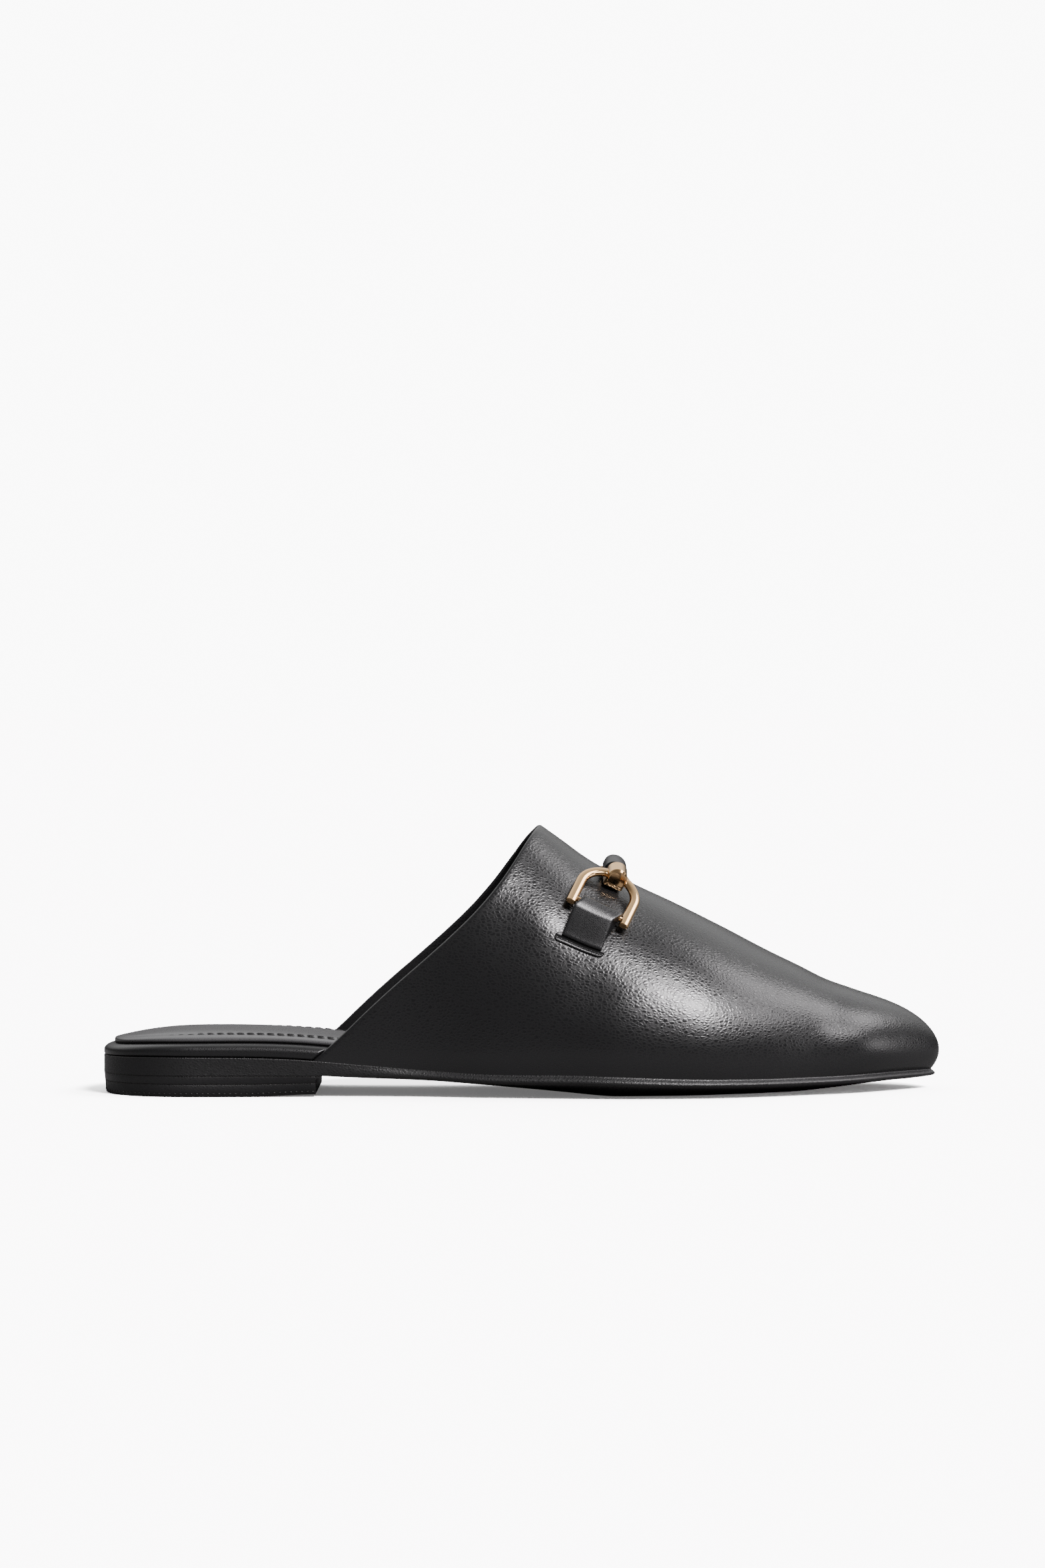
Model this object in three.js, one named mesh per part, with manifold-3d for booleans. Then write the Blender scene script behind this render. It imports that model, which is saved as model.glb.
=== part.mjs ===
import Module from 'manifold-3d';
import * as THREE from 'three';
import { mergeVertices } from 'three/addons/utils/BufferGeometryUtils.js';

// A loafer mule for the right foot, standing empty on its heel and forefoot. Lengths are in millimetres: x
// runs from the back of the heel to the toe, y towards the inner side of the foot and z up from the floor.

// Sizes of the last
const lastLength = 262;
const heelWidth = 57.5;
const ballWidth = 84;
const instepHeight = 83.5;
const toeHeight = 28.6;
const seatHeight = 12.2;
const forepartHeight = 6;
const wallBulge = 7;
const toeSwing = 12;
const heelRound = 30;
const toeRound = 27;
const toeCrown = 24;
const toeUndercut = 2.5;
const sideUndercut = 1;

// Sizes of the upper
const upperWall = 1.8;
const collarStart = 64;
const collarPeak = 135.9;
const collarFootHeight = 10.6;
const collarSkew = 2.2;

// Sizes of the sole and heel
const soleRim = 4.3;
const soleSeat = 5.7;
const soleEdgeProud = 1.2;
const soleBevel = 15;
const heelBreast = 67;
const liftThickness = 3.9;
const heelSpring = 0.8;
const heelSpringStart = 45;
const heelTaper = 0.6;
const breastTaper = 1.2;
const liftChamfer = 0.4;

// Sizes of the footbed and its sock
const padHeight = 4;
const padCrown = 1.8;
const sockThickness = 1.2;
const sockInset = 3.3;

// Sizes of the bit: a leather-covered bar, two end caps, two horseshoe rings and two folded tabs
const bitPlace = 158.4;
const barWidth = 7.2;
const barHeight = 5;
const barSag = 3;
const barLift = 0.7;
const domeShare = 0.6;
const capWidth = 6.4;
const capHeight = 6.8;
const capDepth = 6.4;
const capForward = 1.2;
const capBevel = 0.6;
const capReach = 13.8;
const ringRadius = 8.9;
const ringWire = 3.2;
const ringBand = 2;
const ringLength = 21;
const ringDrop = 0.9;
const pinWire = 1.6;
const pinEnd = 2.5;
const tabWidth = 13;
const tabShift = 0.6;
const tabTurn = 1;
const tabLeather = 1;
const tabReach = 42;

// The gap between pieces that meet, and the bit's rest above the upper
const clearance = 0.3;
const seatRest = 1.5;
const tabRest = 0.7;
const tabTaper = 1.25;
const tabPinch = 0.3;

// Roundness of the outlines, where 2 is an ellipse and more is squarer
const heelFullness = 2.3;
const toeFullness = 2.6;
const crownFullness = 3.2;
const crownPower = 4.6;

// Places as shares of the length: where the middle line swings in, where the toe's foot tucks under and
// where the upper's own sections start
const swingStart = 0.7;
const swingEnd = 0.98;
const tuckStart = 0.8;
const upperStart = 0.2;

// How finely curves are divided
const roundSteps = 9;
const sideSteps = 8;
const arcSteps = 14;
const upperSteps = 26;
const soleSteps = 20;
const heelSteps = 12;
const padSteps = 18;
const barSteps = 8;
const domeSteps = 6;
const ringSides = 8;
const pinSides = 10;
const tabSteps = 7;
const tabAcross = 6;
const foldSteps = 8;

// Tolerances: corners closer than this are one, a ring with less area is a seam, and a small step along a
// curve
const weld = 1e-4;
const seamArea = 0.01;
const nudge = 0.004;
const levelStep = 0.02;
const halvings = 30;

// Shares of the heel's and the ball's half width, on the outer and the inner side, along the length
const planRows = [
  { at: 0, heel: 1, ball: 0, outer: 1, inner: 1 },
  { at: 0.23, heel: 1, ball: 0, outer: 1, inner: 0.97 },
  { at: 0.31, heel: 0.85, ball: 0.15, outer: 0.95, inner: 0.82 },
  { at: 0.38, heel: 0.7, ball: 0.3, outer: 0.93, inner: 0.74 },
  { at: 0.46, heel: 0.4, ball: 0.6, outer: 0.94, inner: 0.7 },
  { at: 0.54, heel: 0.14, ball: 0.86, outer: 0.94, inner: 0.76 },
  { at: 0.61, heel: 0, ball: 1, outer: 0.95, inner: 0.88 },
  { at: 0.67, heel: 0, ball: 1, outer: 0.93, inner: 0.99 },
  { at: 0.72, heel: 0, ball: 1, outer: 0.88, inner: 1.035 },
  { at: 0.78, heel: 0, ball: 1, outer: 0.745, inner: 1.02 },
  { at: 0.84, heel: 0, ball: 1, outer: 0.55, inner: 0.945 },
  { at: 0.9, heel: 0, ball: 1, outer: 0.36, inner: 0.85 },
  { at: 0.95, heel: 0, ball: 1, outer: 0.14, inner: 0.79 },
  { at: 1, heel: 0, ball: 1, outer: -0.08, inner: 0.72 },
];

// How far the feather line has dropped from the seat's height to the forepart's
const featherRows = [
  { at: 0, drop: 0.08 },
  { at: 0.05, drop: 0 },
  { at: 0.115, drop: 0 },
  { at: 0.233, drop: 0.1 },
  { at: 0.309, drop: 0.36 },
  { at: 0.374, drop: 0.58 },
  { at: 0.458, drop: 0.77 },
  { at: 0.557, drop: 0.78 },
  { at: 0.72, drop: 1 },
  { at: 0.86, drop: 1.03 },
  { at: 0.95, drop: 0.96 },
  { at: 1, drop: 0.98 },
];

// The ridge: its height between the toe's and the instep's, its lean to the inner side as a share of the
// ball width, the height of the widest line, and the roundness of the section, where 2 is an ellipse
const ridgeRows = [
  { at: 0.2, height: 1.46, lean: 0, bulge: 0.6, round: 1.95 },
  { at: 0.34, height: 1.37, lean: 0.008, bulge: 0.82, round: 1.9 },
  { at: 0.44, height: 1.2, lean: 0.014, bulge: 0.98, round: 1.85 },
  { at: 0.5187, height: 1, lean: 0.02, bulge: 1.06, round: 1.8 },
  { at: 0.543, height: 0.918, lean: 0.023, bulge: 1.09, round: 1.78 },
  { at: 0.575, height: 0.807, lean: 0.027, bulge: 1.1, round: 1.75 },
  { at: 0.607, height: 0.718, lean: 0.031, bulge: 1.1, round: 1.75 },
  { at: 0.6385, height: 0.642, lean: 0.036, bulge: 1.09, round: 1.76 },
  { at: 0.67, height: 0.573, lean: 0.041, bulge: 1.08, round: 1.78 },
  { at: 0.734, height: 0.422, lean: 0.046, bulge: 1.05, round: 1.82 },
  { at: 0.798, height: 0.262, lean: 0.031, bulge: 1, round: 1.9 },
  { at: 0.83, height: 0.188, lean: 0.015, bulge: 0.97, round: 1.95 },
  { at: 0.861, height: 0.113, lean: 0.004, bulge: 0.95, round: 2 },
  { at: 0.893, height: 0.057, lean: 0, bulge: 0.92, round: 2.05 },
  { at: 0.925, height: 0.006, lean: 0, bulge: 0.9, round: 2.1 },
  { at: 1, height: -0.1, lean: 0, bulge: 0.85, round: 2.1 },
];

// The collar's edge from its foot at the sole to its peak on the ridge
const collarRows = [
  { along: 0, rise: 0 },
  { along: 0.12, rise: 0.104 },
  { along: 0.24, rise: 0.218 },
  { along: 0.36, rise: 0.326 },
  { along: 0.48, rise: 0.428 },
  { along: 0.6, rise: 0.533 },
  { along: 0.7, rise: 0.628 },
  { along: 0.8, rise: 0.742 },
  { along: 0.88, rise: 0.852 },
  { along: 0.95, rise: 0.946 },
  { along: 1, rise: 1 },
];

// The sole ahead of the heel: its rim's thickness, how proud its edge stands of the upper and how far the
// middle of its underside is below the rim, as a share of the rim's height off the floor
const soleRows = [
  { at: 0, rim: 1, proud: 0, belly: 0 },
  { at: 0.23, rim: 1, proud: 0, belly: 0 },
  { at: 0.27, rim: 1, proud: 0.05, belly: 0 },
  { at: 0.32, rim: 0.87, proud: 0.25, belly: 0.07 },
  { at: 0.374, rim: 0.72, proud: 0.6, belly: 0.14 },
  { at: 0.458, rim: 0.69, proud: 0.9, belly: 0.3 },
  { at: 0.557, rim: 0.74, proud: 1, belly: 0.72 },
  { at: 0.62, rim: 0.7, proud: 1, belly: 1 },
  { at: 0.72, rim: 0.6, proud: 1, belly: 1 },
  { at: 0.85, rim: 0.58, proud: 1, belly: 1 },
  { at: 0.93, rim: 0.56, proud: 1, belly: 0.68 },
  { at: 1, rim: 0.5, proud: 1, belly: 0.4 },
];

// The rounded side of the sole, from the feather line down to the underside
const rimRows = [
  { down: 0, out: 0 },
  { down: 0.3, out: 0.6 },
  { down: 0.62, out: 1 },
  { down: 0.88, out: 0.8 },
  { down: 1, out: 0 },
];

// The footbed's thickness and crown along the length
const padRows = [
  { at: 0, pad: 0.9, crown: 0.5 },
  { at: 0.06, pad: 1, crown: 1 },
  { at: 0.25, pad: 1.12, crown: 0.8 },
  { at: 0.38, pad: 1, crown: 0.4 },
  { at: 0.55, pad: 0.75, crown: 0.1 },
  { at: 0.75, pad: 0.68, crown: 0 },
  { at: 1, pad: 0.62, crown: 0 },
];

// The leather wrapped over the footbed's edge, and where the crown's points lie from the edge to the middle
const wrapRows = [
  { up: 0, inward: 0 },
  { up: 0.62, inward: 0 },
  { up: 0.9, inward: 0.35 },
];
const crownShares = [1, 0.8, 0.5, 0];

const wasm = await Module();
wasm.setup();

// A smooth line through one column of a table of sections, worked out at a share of the length
function column(rows, key) {
  const last = rows.length - 1;
  const span = (i) => rows[i + 1].at - rows[i].at;
  const chord = (i) => (rows[i + 1][key] - rows[i][key]) / span(i);
  const slope = (i) => {
    if (i === 0) {
      return chord(0);
    }
    if (i === last) {
      return chord(last - 1);
    }
    return (chord(i - 1) * span(i) + chord(i) * span(i - 1)) / (span(i - 1) + span(i));
  };
  return (where) => {
    const share = THREE.MathUtils.clamp(where, rows[0].at, rows[last].at);
    const next = rows.findIndex((row, i) => i > 0 && share <= row.at);
    const i = next - 1;
    const t = (share - rows[i].at) / span(i);
    const bend = span(i) * t * (1 - t);
    const ease = t * t * (3 - 2 * t);
    const pull = bend * ((1 - t) * slope(i) - t * slope(next));
    return rows[i][key] * (1 - ease) + rows[next][key] * ease + pull;
  };
}

const blend = THREE.MathUtils.smoothstep;
const plan = { heel: column(planRows, 'heel'), ball: column(planRows, 'ball') };
const planSide = { outer: column(planRows, 'outer'), inner: column(planRows, 'inner') };
const featherDrop = column(featherRows, 'drop');
const ridgeShare = column(ridgeRows, 'height');
const ridgeLean = column(ridgeRows, 'lean');
const bulgeShare = column(ridgeRows, 'bulge');
const roundness = column(ridgeRows, 'round');
const rimShare = column(soleRows, 'rim');
const proudShare = column(soleRows, 'proud');
const bellyShare = column(soleRows, 'belly');
const padShare = column(padRows, 'pad');
const crownShare = column(padRows, 'crown');

// The last: its outline from above, its heights and the point of its surface at a level

const heelClose = (at) => {
  const away = THREE.MathUtils.clamp(1 - (at * lastLength) / heelRound, 0, 1);
  return (1 - away ** heelFullness) ** (1 / heelFullness);
};

const nearTip = (at, depth) => THREE.MathUtils.clamp(1 - ((1 - at) * lastLength) / depth, 0, 1);
const toeClose = (at) => Math.sqrt(1 - nearTip(at, toeRound) ** toeFullness);
const crownClose = (at) => Math.sqrt(1 - nearTip(at, toeCrown) ** crownFullness);
const middleLine = (at) => toeSwing * blend(at, swingStart, swingEnd);
const featherHeight = (at) => seatHeight - (seatHeight - forepartHeight) * featherDrop(at);
const widestHeight = (at) => featherHeight(at) + wallBulge * bulgeShare(at);
const crestHeight = (at) => toeHeight + (instepHeight - toeHeight) * ridgeShare(at);

function edgeLine(at, side, inset) {
  const full = (heelWidth * plan.heel(at) + ballWidth * plan.ball(at)) / 2;
  const half = full * (side > 0 ? planSide.inner(at) : planSide.outer(at)) - inset;
  const middle = middleLine(at);
  return middle + (side * half * heelClose(at) - middle) * toeClose(at);
}

// The surface drawn in by inset. Level 0 is the feather line, 1 the widest line and 2 the ridge.
function skin(at, side, level, inset = 0) {
  const x = inset + at * (lastLength - 2 * inset);
  const edge = edgeLine(at, side, inset);
  const low = featherHeight(at);
  const wide = widestHeight(at);
  if (level <= 1) {
    const tuck = (1 - level) ** 2;
    const sideTuck = side * sideUndercut * proudShare(at) * toeClose(at) * tuck;
    const tipTuck = toeUndercut * blend(at, tuckStart, 1) * tuck;
    return new THREE.Vector3(x - tipTuck, edge - sideTuck, low + (wide - low) * level);
  }
  const turn = ((level - 1) * Math.PI) / 2;
  const power = 2 / roundness(at);
  const out = Math.max(Math.cos(turn), 0) ** power;
  const up = Math.sin(turn) ** power;
  const slope = (crestHeight(at + nudge) - crestHeight(at - nudge)) / (2 * nudge * lastLength);
  const crest = crestHeight(at) - inset * Math.hypot(1, slope);
  const ridge = middleLine(at) + ballWidth * ridgeLean(at);
  const top = wide + (crest - wide) * crownClose(at);
  return new THREE.Vector3(x, ridge + (edge - ridge) * out, wide + (top - wide) * up);
}

// Places along the length: close together where the heel and the toe turn
function stations(from, to, straightSteps) {
  const heelTurn = heelRound / lastLength;
  const toeTurn = 1 - toeRound / lastLength;
  const list = [from, to];
  for (let i = 0; i <= roundSteps; i += 1) {
    const ease = 1 - Math.cos((i / roundSteps) * (Math.PI / 2));
    list.push(heelTurn * ease, 1 - (1 - toeTurn) * ease);
  }
  for (let i = 1; i < straightSteps; i += 1) {
    list.push(heelTurn + (toeTurn - heelTurn) * (i / straightSteps));
  }
  const inside = list.filter((at) => at >= from && at <= to).sort((a, b) => a - b);
  return inside.filter((at, i) => i === 0 || at - inside[i - 1] > weld);
}

// Closed skins and solids

// Closed rings joined one to the next. A ring that encloses nothing is a seam, any other end gets a cover.
function loft(rings) {
  const count = rings[0].length;
  const points = rings.flat();
  const faces = [];
  for (let row = 1; row < rings.length; row += 1) {
    for (let i = 0; i < count; i += 1) {
      const next = (i + 1) % count;
      const a = (row - 1) * count + i;
      const b = (row - 1) * count + next;
      faces.push([a, b, row * count + next], [a, row * count + next, row * count + i]);
    }
  }
  const cover = (row, turned) => {
    const ring = rings[row];
    const middle = ring.reduce((sum, p) => sum.add(p), new THREE.Vector3()).divideScalar(count);
    const area = new THREE.Vector3();
    ring.forEach((p, i) => {
      const q = ring[(i + 1) % count];
      area.add(p.clone().sub(middle).cross(q.clone().sub(middle)));
    });
    if (area.length() < seamArea) {
      return;
    }
    const hub = points.push(middle) - 1;
    ring.forEach((p, i) => {
      const a = row * count + i;
      const b = row * count + ((i + 1) % count);
      faces.push(turned ? [hub, b, a] : [hub, a, b]);
    });
  };
  cover(0, true);
  cover(rings.length - 1, false);
  const geometry = new THREE.BufferGeometry().setFromPoints(points);
  geometry.setIndex(faces.flat());
  return solidOf(geometry);
}

// A closed mesh as a solid, with its faces turned outwards and its welded-away triangles left out
function solidOf(geometry) {
  const bare = geometry.clone();
  bare.deleteAttribute('normal');
  bare.deleteAttribute('uv');
  const merged = mergeVertices(bare, weld);
  const position = merged.attributes.position;
  const index = merged.index.array;
  const corner = (i) => new THREE.Vector3().fromBufferAttribute(position, i);
  const kept = [];
  let volume = 0;
  for (let i = 0; i < index.length; i += 3) {
    const [a, b, c] = [index[i], index[i + 1], index[i + 2]];
    if (a !== b && b !== c && c !== a) {
      kept.push([a, b, c]);
      volume += corner(a).dot(corner(b).cross(corner(c)));
    }
  }
  const facing = volume < 0 ? kept.map(([a, b, c]) => [a, c, b]) : kept;
  const vertProperties = new Float32Array(position.array);
  const triVerts = new Uint32Array(facing.flat());
  return new wasm.Manifold(new wasm.Mesh({ numProp: 3, vertProperties, triVerts }));
}

function geometryOf(solid) {
  const mesh = solid.getMesh();
  const geometry = new THREE.BufferGeometry();
  geometry.setAttribute('position', new THREE.BufferAttribute(new Float32Array(mesh.vertProperties), 3));
  geometry.setIndex(new THREE.BufferAttribute(new Uint32Array(mesh.triVerts), 1));
  geometry.computeVertexNormals();
  return geometry;
}

// A flat shape pushed along a direction, with its x and y laid along the two given axes
function pushed(shape, origin, across, up, along, depth, bevel = 0) {
  const geometry = new THREE.ExtrudeGeometry(shape, {
    depth: depth - 2 * bevel,
    bevelEnabled: bevel > 0,
    bevelThickness: bevel,
    bevelSize: bevel,
    bevelOffset: -bevel,
    bevelSegments: 1,
  });
  geometry.translate(0, 0, bevel - depth / 2);
  const basis = new THREE.Matrix4().makeBasis(across, up, along).setPosition(origin);
  return solidOf(geometry.applyMatrix4(basis));
}

// The upper: the last's surface less the same surface drawn in by the wall, cut along the collar

const sideLevels = [0, 0.5];
for (let i = 0; i <= sideSteps; i += 1) {
  sideLevels.push(1 + i / sideSteps);
}

// One section of the upper's skin, from the outer feather line over the ridge to the inner one
function arch(at, inset, raise, floorDrop = 0) {
  const outer = sideLevels.map((level) => skin(at, -1, level, inset));
  const inner = sideLevels.slice(0, -1).map((level) => skin(at, 1, level, inset)).reverse();
  const ring = [...outer, ...inner];
  ring[0].z += raise;
  ring[ring.length - 1].z += raise;
  if (floorDrop > 0) {
    const down = new THREE.Vector3(0, 0, -floorDrop);
    ring.unshift(ring[0].clone().add(down));
    ring.push(ring[ring.length - 1].clone().add(down));
  }
  return ring;
}

const upperPlaces = stations(upperStart, 1, upperSteps);
const mould = (inset, raise, floorDrop) => loft(upperPlaces.map((at) => arch(at, inset, raise, floorDrop)));

// All that lies ahead of the collar's edge, moved back by a margin
function aheadOfCollar(margin) {
  const reach = (share) => collarStart - margin * Math.SQRT2 + share * (collarPeak - collarStart);
  const rise = (share) => collarFootHeight + share * (instepHeight - collarFootHeight);
  const shape = new THREE.Shape();
  const beyond = 2 * lastLength;
  shape.moveTo(reach(0) - collarFootHeight, -collarFootHeight);
  collarRows.forEach((row) => shape.lineTo(reach(row.along), rise(row.rise)));
  shape.lineTo(reach(1), rise(1) + instepHeight);
  shape.lineTo(beyond, rise(1) + instepHeight);
  shape.lineTo(beyond, -collarFootHeight);
  const across = new THREE.Vector3(1, 0, 0);
  const up = new THREE.Vector3(0, 0, 1);
  const along = new THREE.Vector3(collarSkew / heelWidth, -1, 0);
  return pushed(shape, new THREE.Vector3(), across, up, along, 2 * ballWidth);
}

const hollow = mould(upperWall, 0, seatHeight);
const upper = mould(0, clearance, 0).subtract(hollow).intersect(aheadOfCollar(0));

// The outsole, from the back of the heel to the toe in one piece

const seatUnderside = seatHeight - soleSeat;
const ahead = (at) => blend(at * lastLength, heelBreast, heelBreast + soleRim);
const rimUnderside = (at) => featherHeight(at) - soleRim * rimShare(at);
const soleHeight = (at) => seatUnderside + (rimUnderside(at) - seatUnderside) * ahead(at);
const bellyHeight = (at) => Math.max(soleHeight(at) * (1 - bellyShare(at)), 0);

function soleSide(at, side) {
  const proud = soleEdgeProud * proudShare(at);
  const rim = featherHeight(at) - soleHeight(at);
  const points = rimRows.map((row) => {
    const point = skin(at, side, 0, -proud * row.out);
    point.z -= rim * row.down;
    return point;
  });
  const inner = skin(at, side, 0, soleBevel);
  inner.z = bellyHeight(THREE.MathUtils.clamp(inner.x / lastLength, 0, 1));
  points.push(inner);
  return points;
}

const solePlaces = [...stations(0, 1, soleSteps), heelBreast / lastLength].sort((a, b) => a - b);
const outsole = loft(solePlaces.map((at) => [...soleSide(at, -1), ...soleSide(at, 1).reverse()]));

// The heel: one lift under the sole and a rubber top lift on the floor

const breastPlace = (inset) => (heelBreast - inset) / (lastLength - 2 * inset);

function heelRing(height, extra) {
  const down = 1 - height / seatUnderside;
  const place = breastPlace(heelTaper * down + extra);
  const side = (sign) => stations(0, place, heelSteps).map((at) => {
    const nearBreast = blend(at * lastLength, heelRound, heelBreast);
    const inset = down * (heelTaper + breastTaper * nearBreast) + extra;
    const point = skin(at, sign, 0, inset);
    const spring = heelSpring * blend(point.x, heelSpringStart, heelBreast) * down;
    return point.setX(Math.min(point.x, heelBreast)).setZ(height + spring);
  });
  return [...side(-1).reverse(), ...side(1).slice(1)];
}

const heelBlock = loft([
  heelRing(liftThickness + clearance, 0),
  heelRing(seatUnderside - clearance, 0),
]);

const topLift = loft([
  heelRing(0, liftChamfer),
  heelRing(liftChamfer, 0),
  heelRing(liftThickness, 0),
]);

// The footbed: a leather-wrapped pad on the sole, cut back where the upper's walls go down past it

const padTop = (at, share) => {
  const edge = featherHeight(at) + padHeight * padShare(at);
  const crown = padCrown * crownShare(at) * heelClose(at) * toeClose(at);
  return edge + crown * (1 - share ** crownPower);
};

// The crowned top from the sock's edge to the middle of the foot, lifted off the footbed
function crownSide(at, side, lift) {
  const rim = skin(at, side, 0, sockInset);
  const middle = skin(at, -side, 0, sockInset).add(rim).multiplyScalar(0.5);
  return crownShares.map((share) => middle.clone().lerp(rim, share).setZ(padTop(at, share) + lift));
}

function padSide(at, side) {
  const foot = featherHeight(at) + clearance;
  const wall = wrapRows.map((row) => {
    const point = skin(at, side, 0, sockInset * row.inward);
    return point.setZ(foot + (padTop(at, 1) - foot) * row.up);
  });
  return [...wall, ...crownSide(at, side, 0)];
}

const padPlaces = stations(0, 1, padSteps);
const blank = loft(padPlaces.map((at) => [...padSide(at, -1), ...padSide(at, 1).slice(0, -1).reverse()]));
const room = mould(upperWall + clearance, 0, seatHeight);
const footbed = blank.subtract(aheadOfCollar(clearance).subtract(room));

// The sock: a thin padded cover on the footbed, short of its edge

const sockRing = (at) => [
  ...crownSide(at, -1, clearance + sockThickness),
  ...crownSide(at, 1, clearance + sockThickness).slice(0, -1).reverse(),
  ...crownSide(at, 1, clearance),
  ...crownSide(at, -1, clearance).slice(0, -1).reverse(),
];
const sock = loft(padPlaces.map(sockRing));

// The bit's own frame: its plane stands square to the ridge, and a path runs down each side of the upper
// in it

const bitShare = bitPlace / lastLength;
const ridgePoint = skin(bitShare, 1, 2);
const ridgeAhead = skin(bitShare + nudge, 1, 2).sub(skin(bitShare - nudge, 1, 2)).setY(0);
const bitAcross = ridgeAhead.normalize();
const bitUp = new THREE.Vector3(-bitAcross.z, 0, bitAcross.x);
const sideways = new THREE.Vector3(0, 1, 0);

// The point of the upper's surface in the plane that lies an offset ahead of the bit's own
function saddlePoint(side, level, offset = 0) {
  let low = upperStart;
  let high = 1;
  for (let i = 0; i < halvings; i += 1) {
    const middle = (low + high) / 2;
    if (skin(middle, side, level).sub(ridgePoint).dot(bitAcross) > offset) {
      high = middle;
    } else {
      low = middle;
    }
  }
  return skin(low, side, level);
}

// The level on one side at a distance down the surface from the ridge
function levelAt(side, distance) {
  let travelled = 0;
  let level = 2;
  let before = saddlePoint(side, level);
  while (level > 1 + levelStep) {
    const point = saddlePoint(side, level - levelStep);
    const length = point.distanceTo(before);
    if (travelled + length >= distance) {
      return level - (levelStep * (distance - travelled)) / length;
    }
    travelled += length;
    level -= levelStep;
    before = point;
  }
  return level;
}

// The surface's direction ahead and its outward direction at a place on one side
function saddleAcross(side, level, offset, reach) {
  return saddlePoint(side, level, offset + reach).sub(saddlePoint(side, level, offset - reach)).normalize();
}

function saddleNormal(side, level, offset) {
  const down = saddlePoint(side, level - levelStep, offset).sub(saddlePoint(side, level + levelStep, offset));
  return down.cross(saddleAcross(side, level, offset, upperWall)).multiplyScalar(-side).normalize();
}

// The bar across the ridge

const barHalf = capReach + capForward - capDepth / 2 - 2 * clearance;
const barCentre = (y) => {
  const centre = ridgePoint.clone().addScaledVector(sideways, y);
  centre.addScaledVector(bitUp, barLift + barHeight / 2);
  return centre.setZ(centre.z - barSag * (y / capReach) ** 2);
};
const barAlong = (y) => barCentre(y + clearance).sub(barCentre(y - clearance)).normalize();

// A flat foot with a rounded back, in the bar's own across and up
function domePoints(width, height) {
  const points = [new THREE.Vector2(-width / 2, -height / 2)];
  const domeRise = Math.min(width / 2, height * domeShare);
  for (let i = 0; i <= domeSteps; i += 1) {
    const turn = Math.PI * (1 - i / domeSteps);
    const up = height / 2 - domeRise + Math.sin(turn) * domeRise;
    points.push(new THREE.Vector2((Math.cos(turn) * width) / 2, up));
  }
  points.push(new THREE.Vector2(width / 2, -height / 2));
  return points;
}

const barRing = (y) => {
  const centre = barCentre(y);
  const up = bitAcross.clone().cross(barAlong(y)).normalize();
  return domePoints(barWidth, barHeight).map((p) =>
    centre.clone().addScaledVector(bitAcross, p.x).addScaledVector(up, p.y));
};
const barRings = [];
for (let i = 0; i <= barSteps; i += 1) {
  barRings.push(barRing(barHalf * ((2 * i) / barSteps - 1)));
}
const bar = loft(barRings);

// A ring hangs from the cap at the bar's end and holds the tab's fold on its pin

const pinPlace = ringLength - pinEnd;
const foldRadius = pinWire / 2 + clearance + tabLeather;
const tabRise = seatRest + 2 * foldRadius - tabRest - tabLeather;

function bitSide(side) {
  const centre = barCentre(side * capReach);
  const seatLevel = levelAt(side, capReach + pinPlace);
  const seatLift = foldRadius + seatRest;
  const seat = saddlePoint(side, seatLevel).addScaledVector(saddleNormal(side, seatLevel, 0), seatLift);
  const across = saddleAcross(side, seatLevel, 0, ringRadius);
  const down = seat.clone().sub(centre);
  down.addScaledVector(across, -down.dot(across)).normalize();
  const normal = down.clone().cross(across).multiplyScalar(-side).normalize();
  const inRing = (ahead, below) => centre.clone().addScaledVector(across, ahead).addScaledVector(down, below);
  return { side, centre, across, down, normal, inRing };
}

// The ring's middle line as rows of a point and the outward direction in the ring's plane
function ringPath(frame) {
  const path = [];
  const end = ringLength - ringWire / 2;
  const add = (ahead, below, outAhead, outBelow) => {
    const out = frame.across.clone().multiplyScalar(outAhead).addScaledVector(frame.down, outBelow);
    path.push({ point: frame.inRing(ahead, below), out });
  };
  add(-ringRadius, end, -1, 0);
  for (let i = 0; i <= arcSteps; i += 1) {
    const turn = Math.PI * (1 - i / arcSteps);
    const below = ringDrop + ringRadius * (1 - Math.sin(turn));
    add(Math.cos(turn) * ringRadius, below, Math.cos(turn), -Math.sin(turn));
  }
  add(ringRadius, end, 1, 0);
  return path;
}

function ringBody(frame, extra) {
  const rings = ringPath(frame).map(({ point, out }) => {
    const ring = [];
    for (let i = 0; i < ringSides; i += 1) {
      const turn = ((2 * i + 1) * Math.PI) / ringSides;
      const across = Math.cos(turn) * (ringWire / 2 + extra);
      const high = Math.sin(turn) * (ringBand / 2 + extra);
      ring.push(point.clone().addScaledVector(out, across).addScaledVector(frame.normal, high));
    }
    return ring;
  });
  return loft(rings);
}

function rod(from, to, radius) {
  const length = from.distanceTo(to);
  const geometry = new THREE.CylinderGeometry(radius, radius, length, pinSides);
  const along = to.clone().sub(from).normalize();
  const turn = new THREE.Quaternion().setFromUnitVectors(sideways, along);
  const middle = from.clone().add(to).multiplyScalar(0.5);
  return solidOf(geometry.applyQuaternion(turn).translate(middle.x, middle.y, middle.z));
}

function pinBody(frame, radius, half) {
  return rod(frame.inRing(-half, pinPlace), frame.inRing(half, pinPlace), radius);
}

function ring(frame) {
  return ringBody(frame, 0).add(pinBody(frame, pinWire / 2, ringRadius));
}

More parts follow.
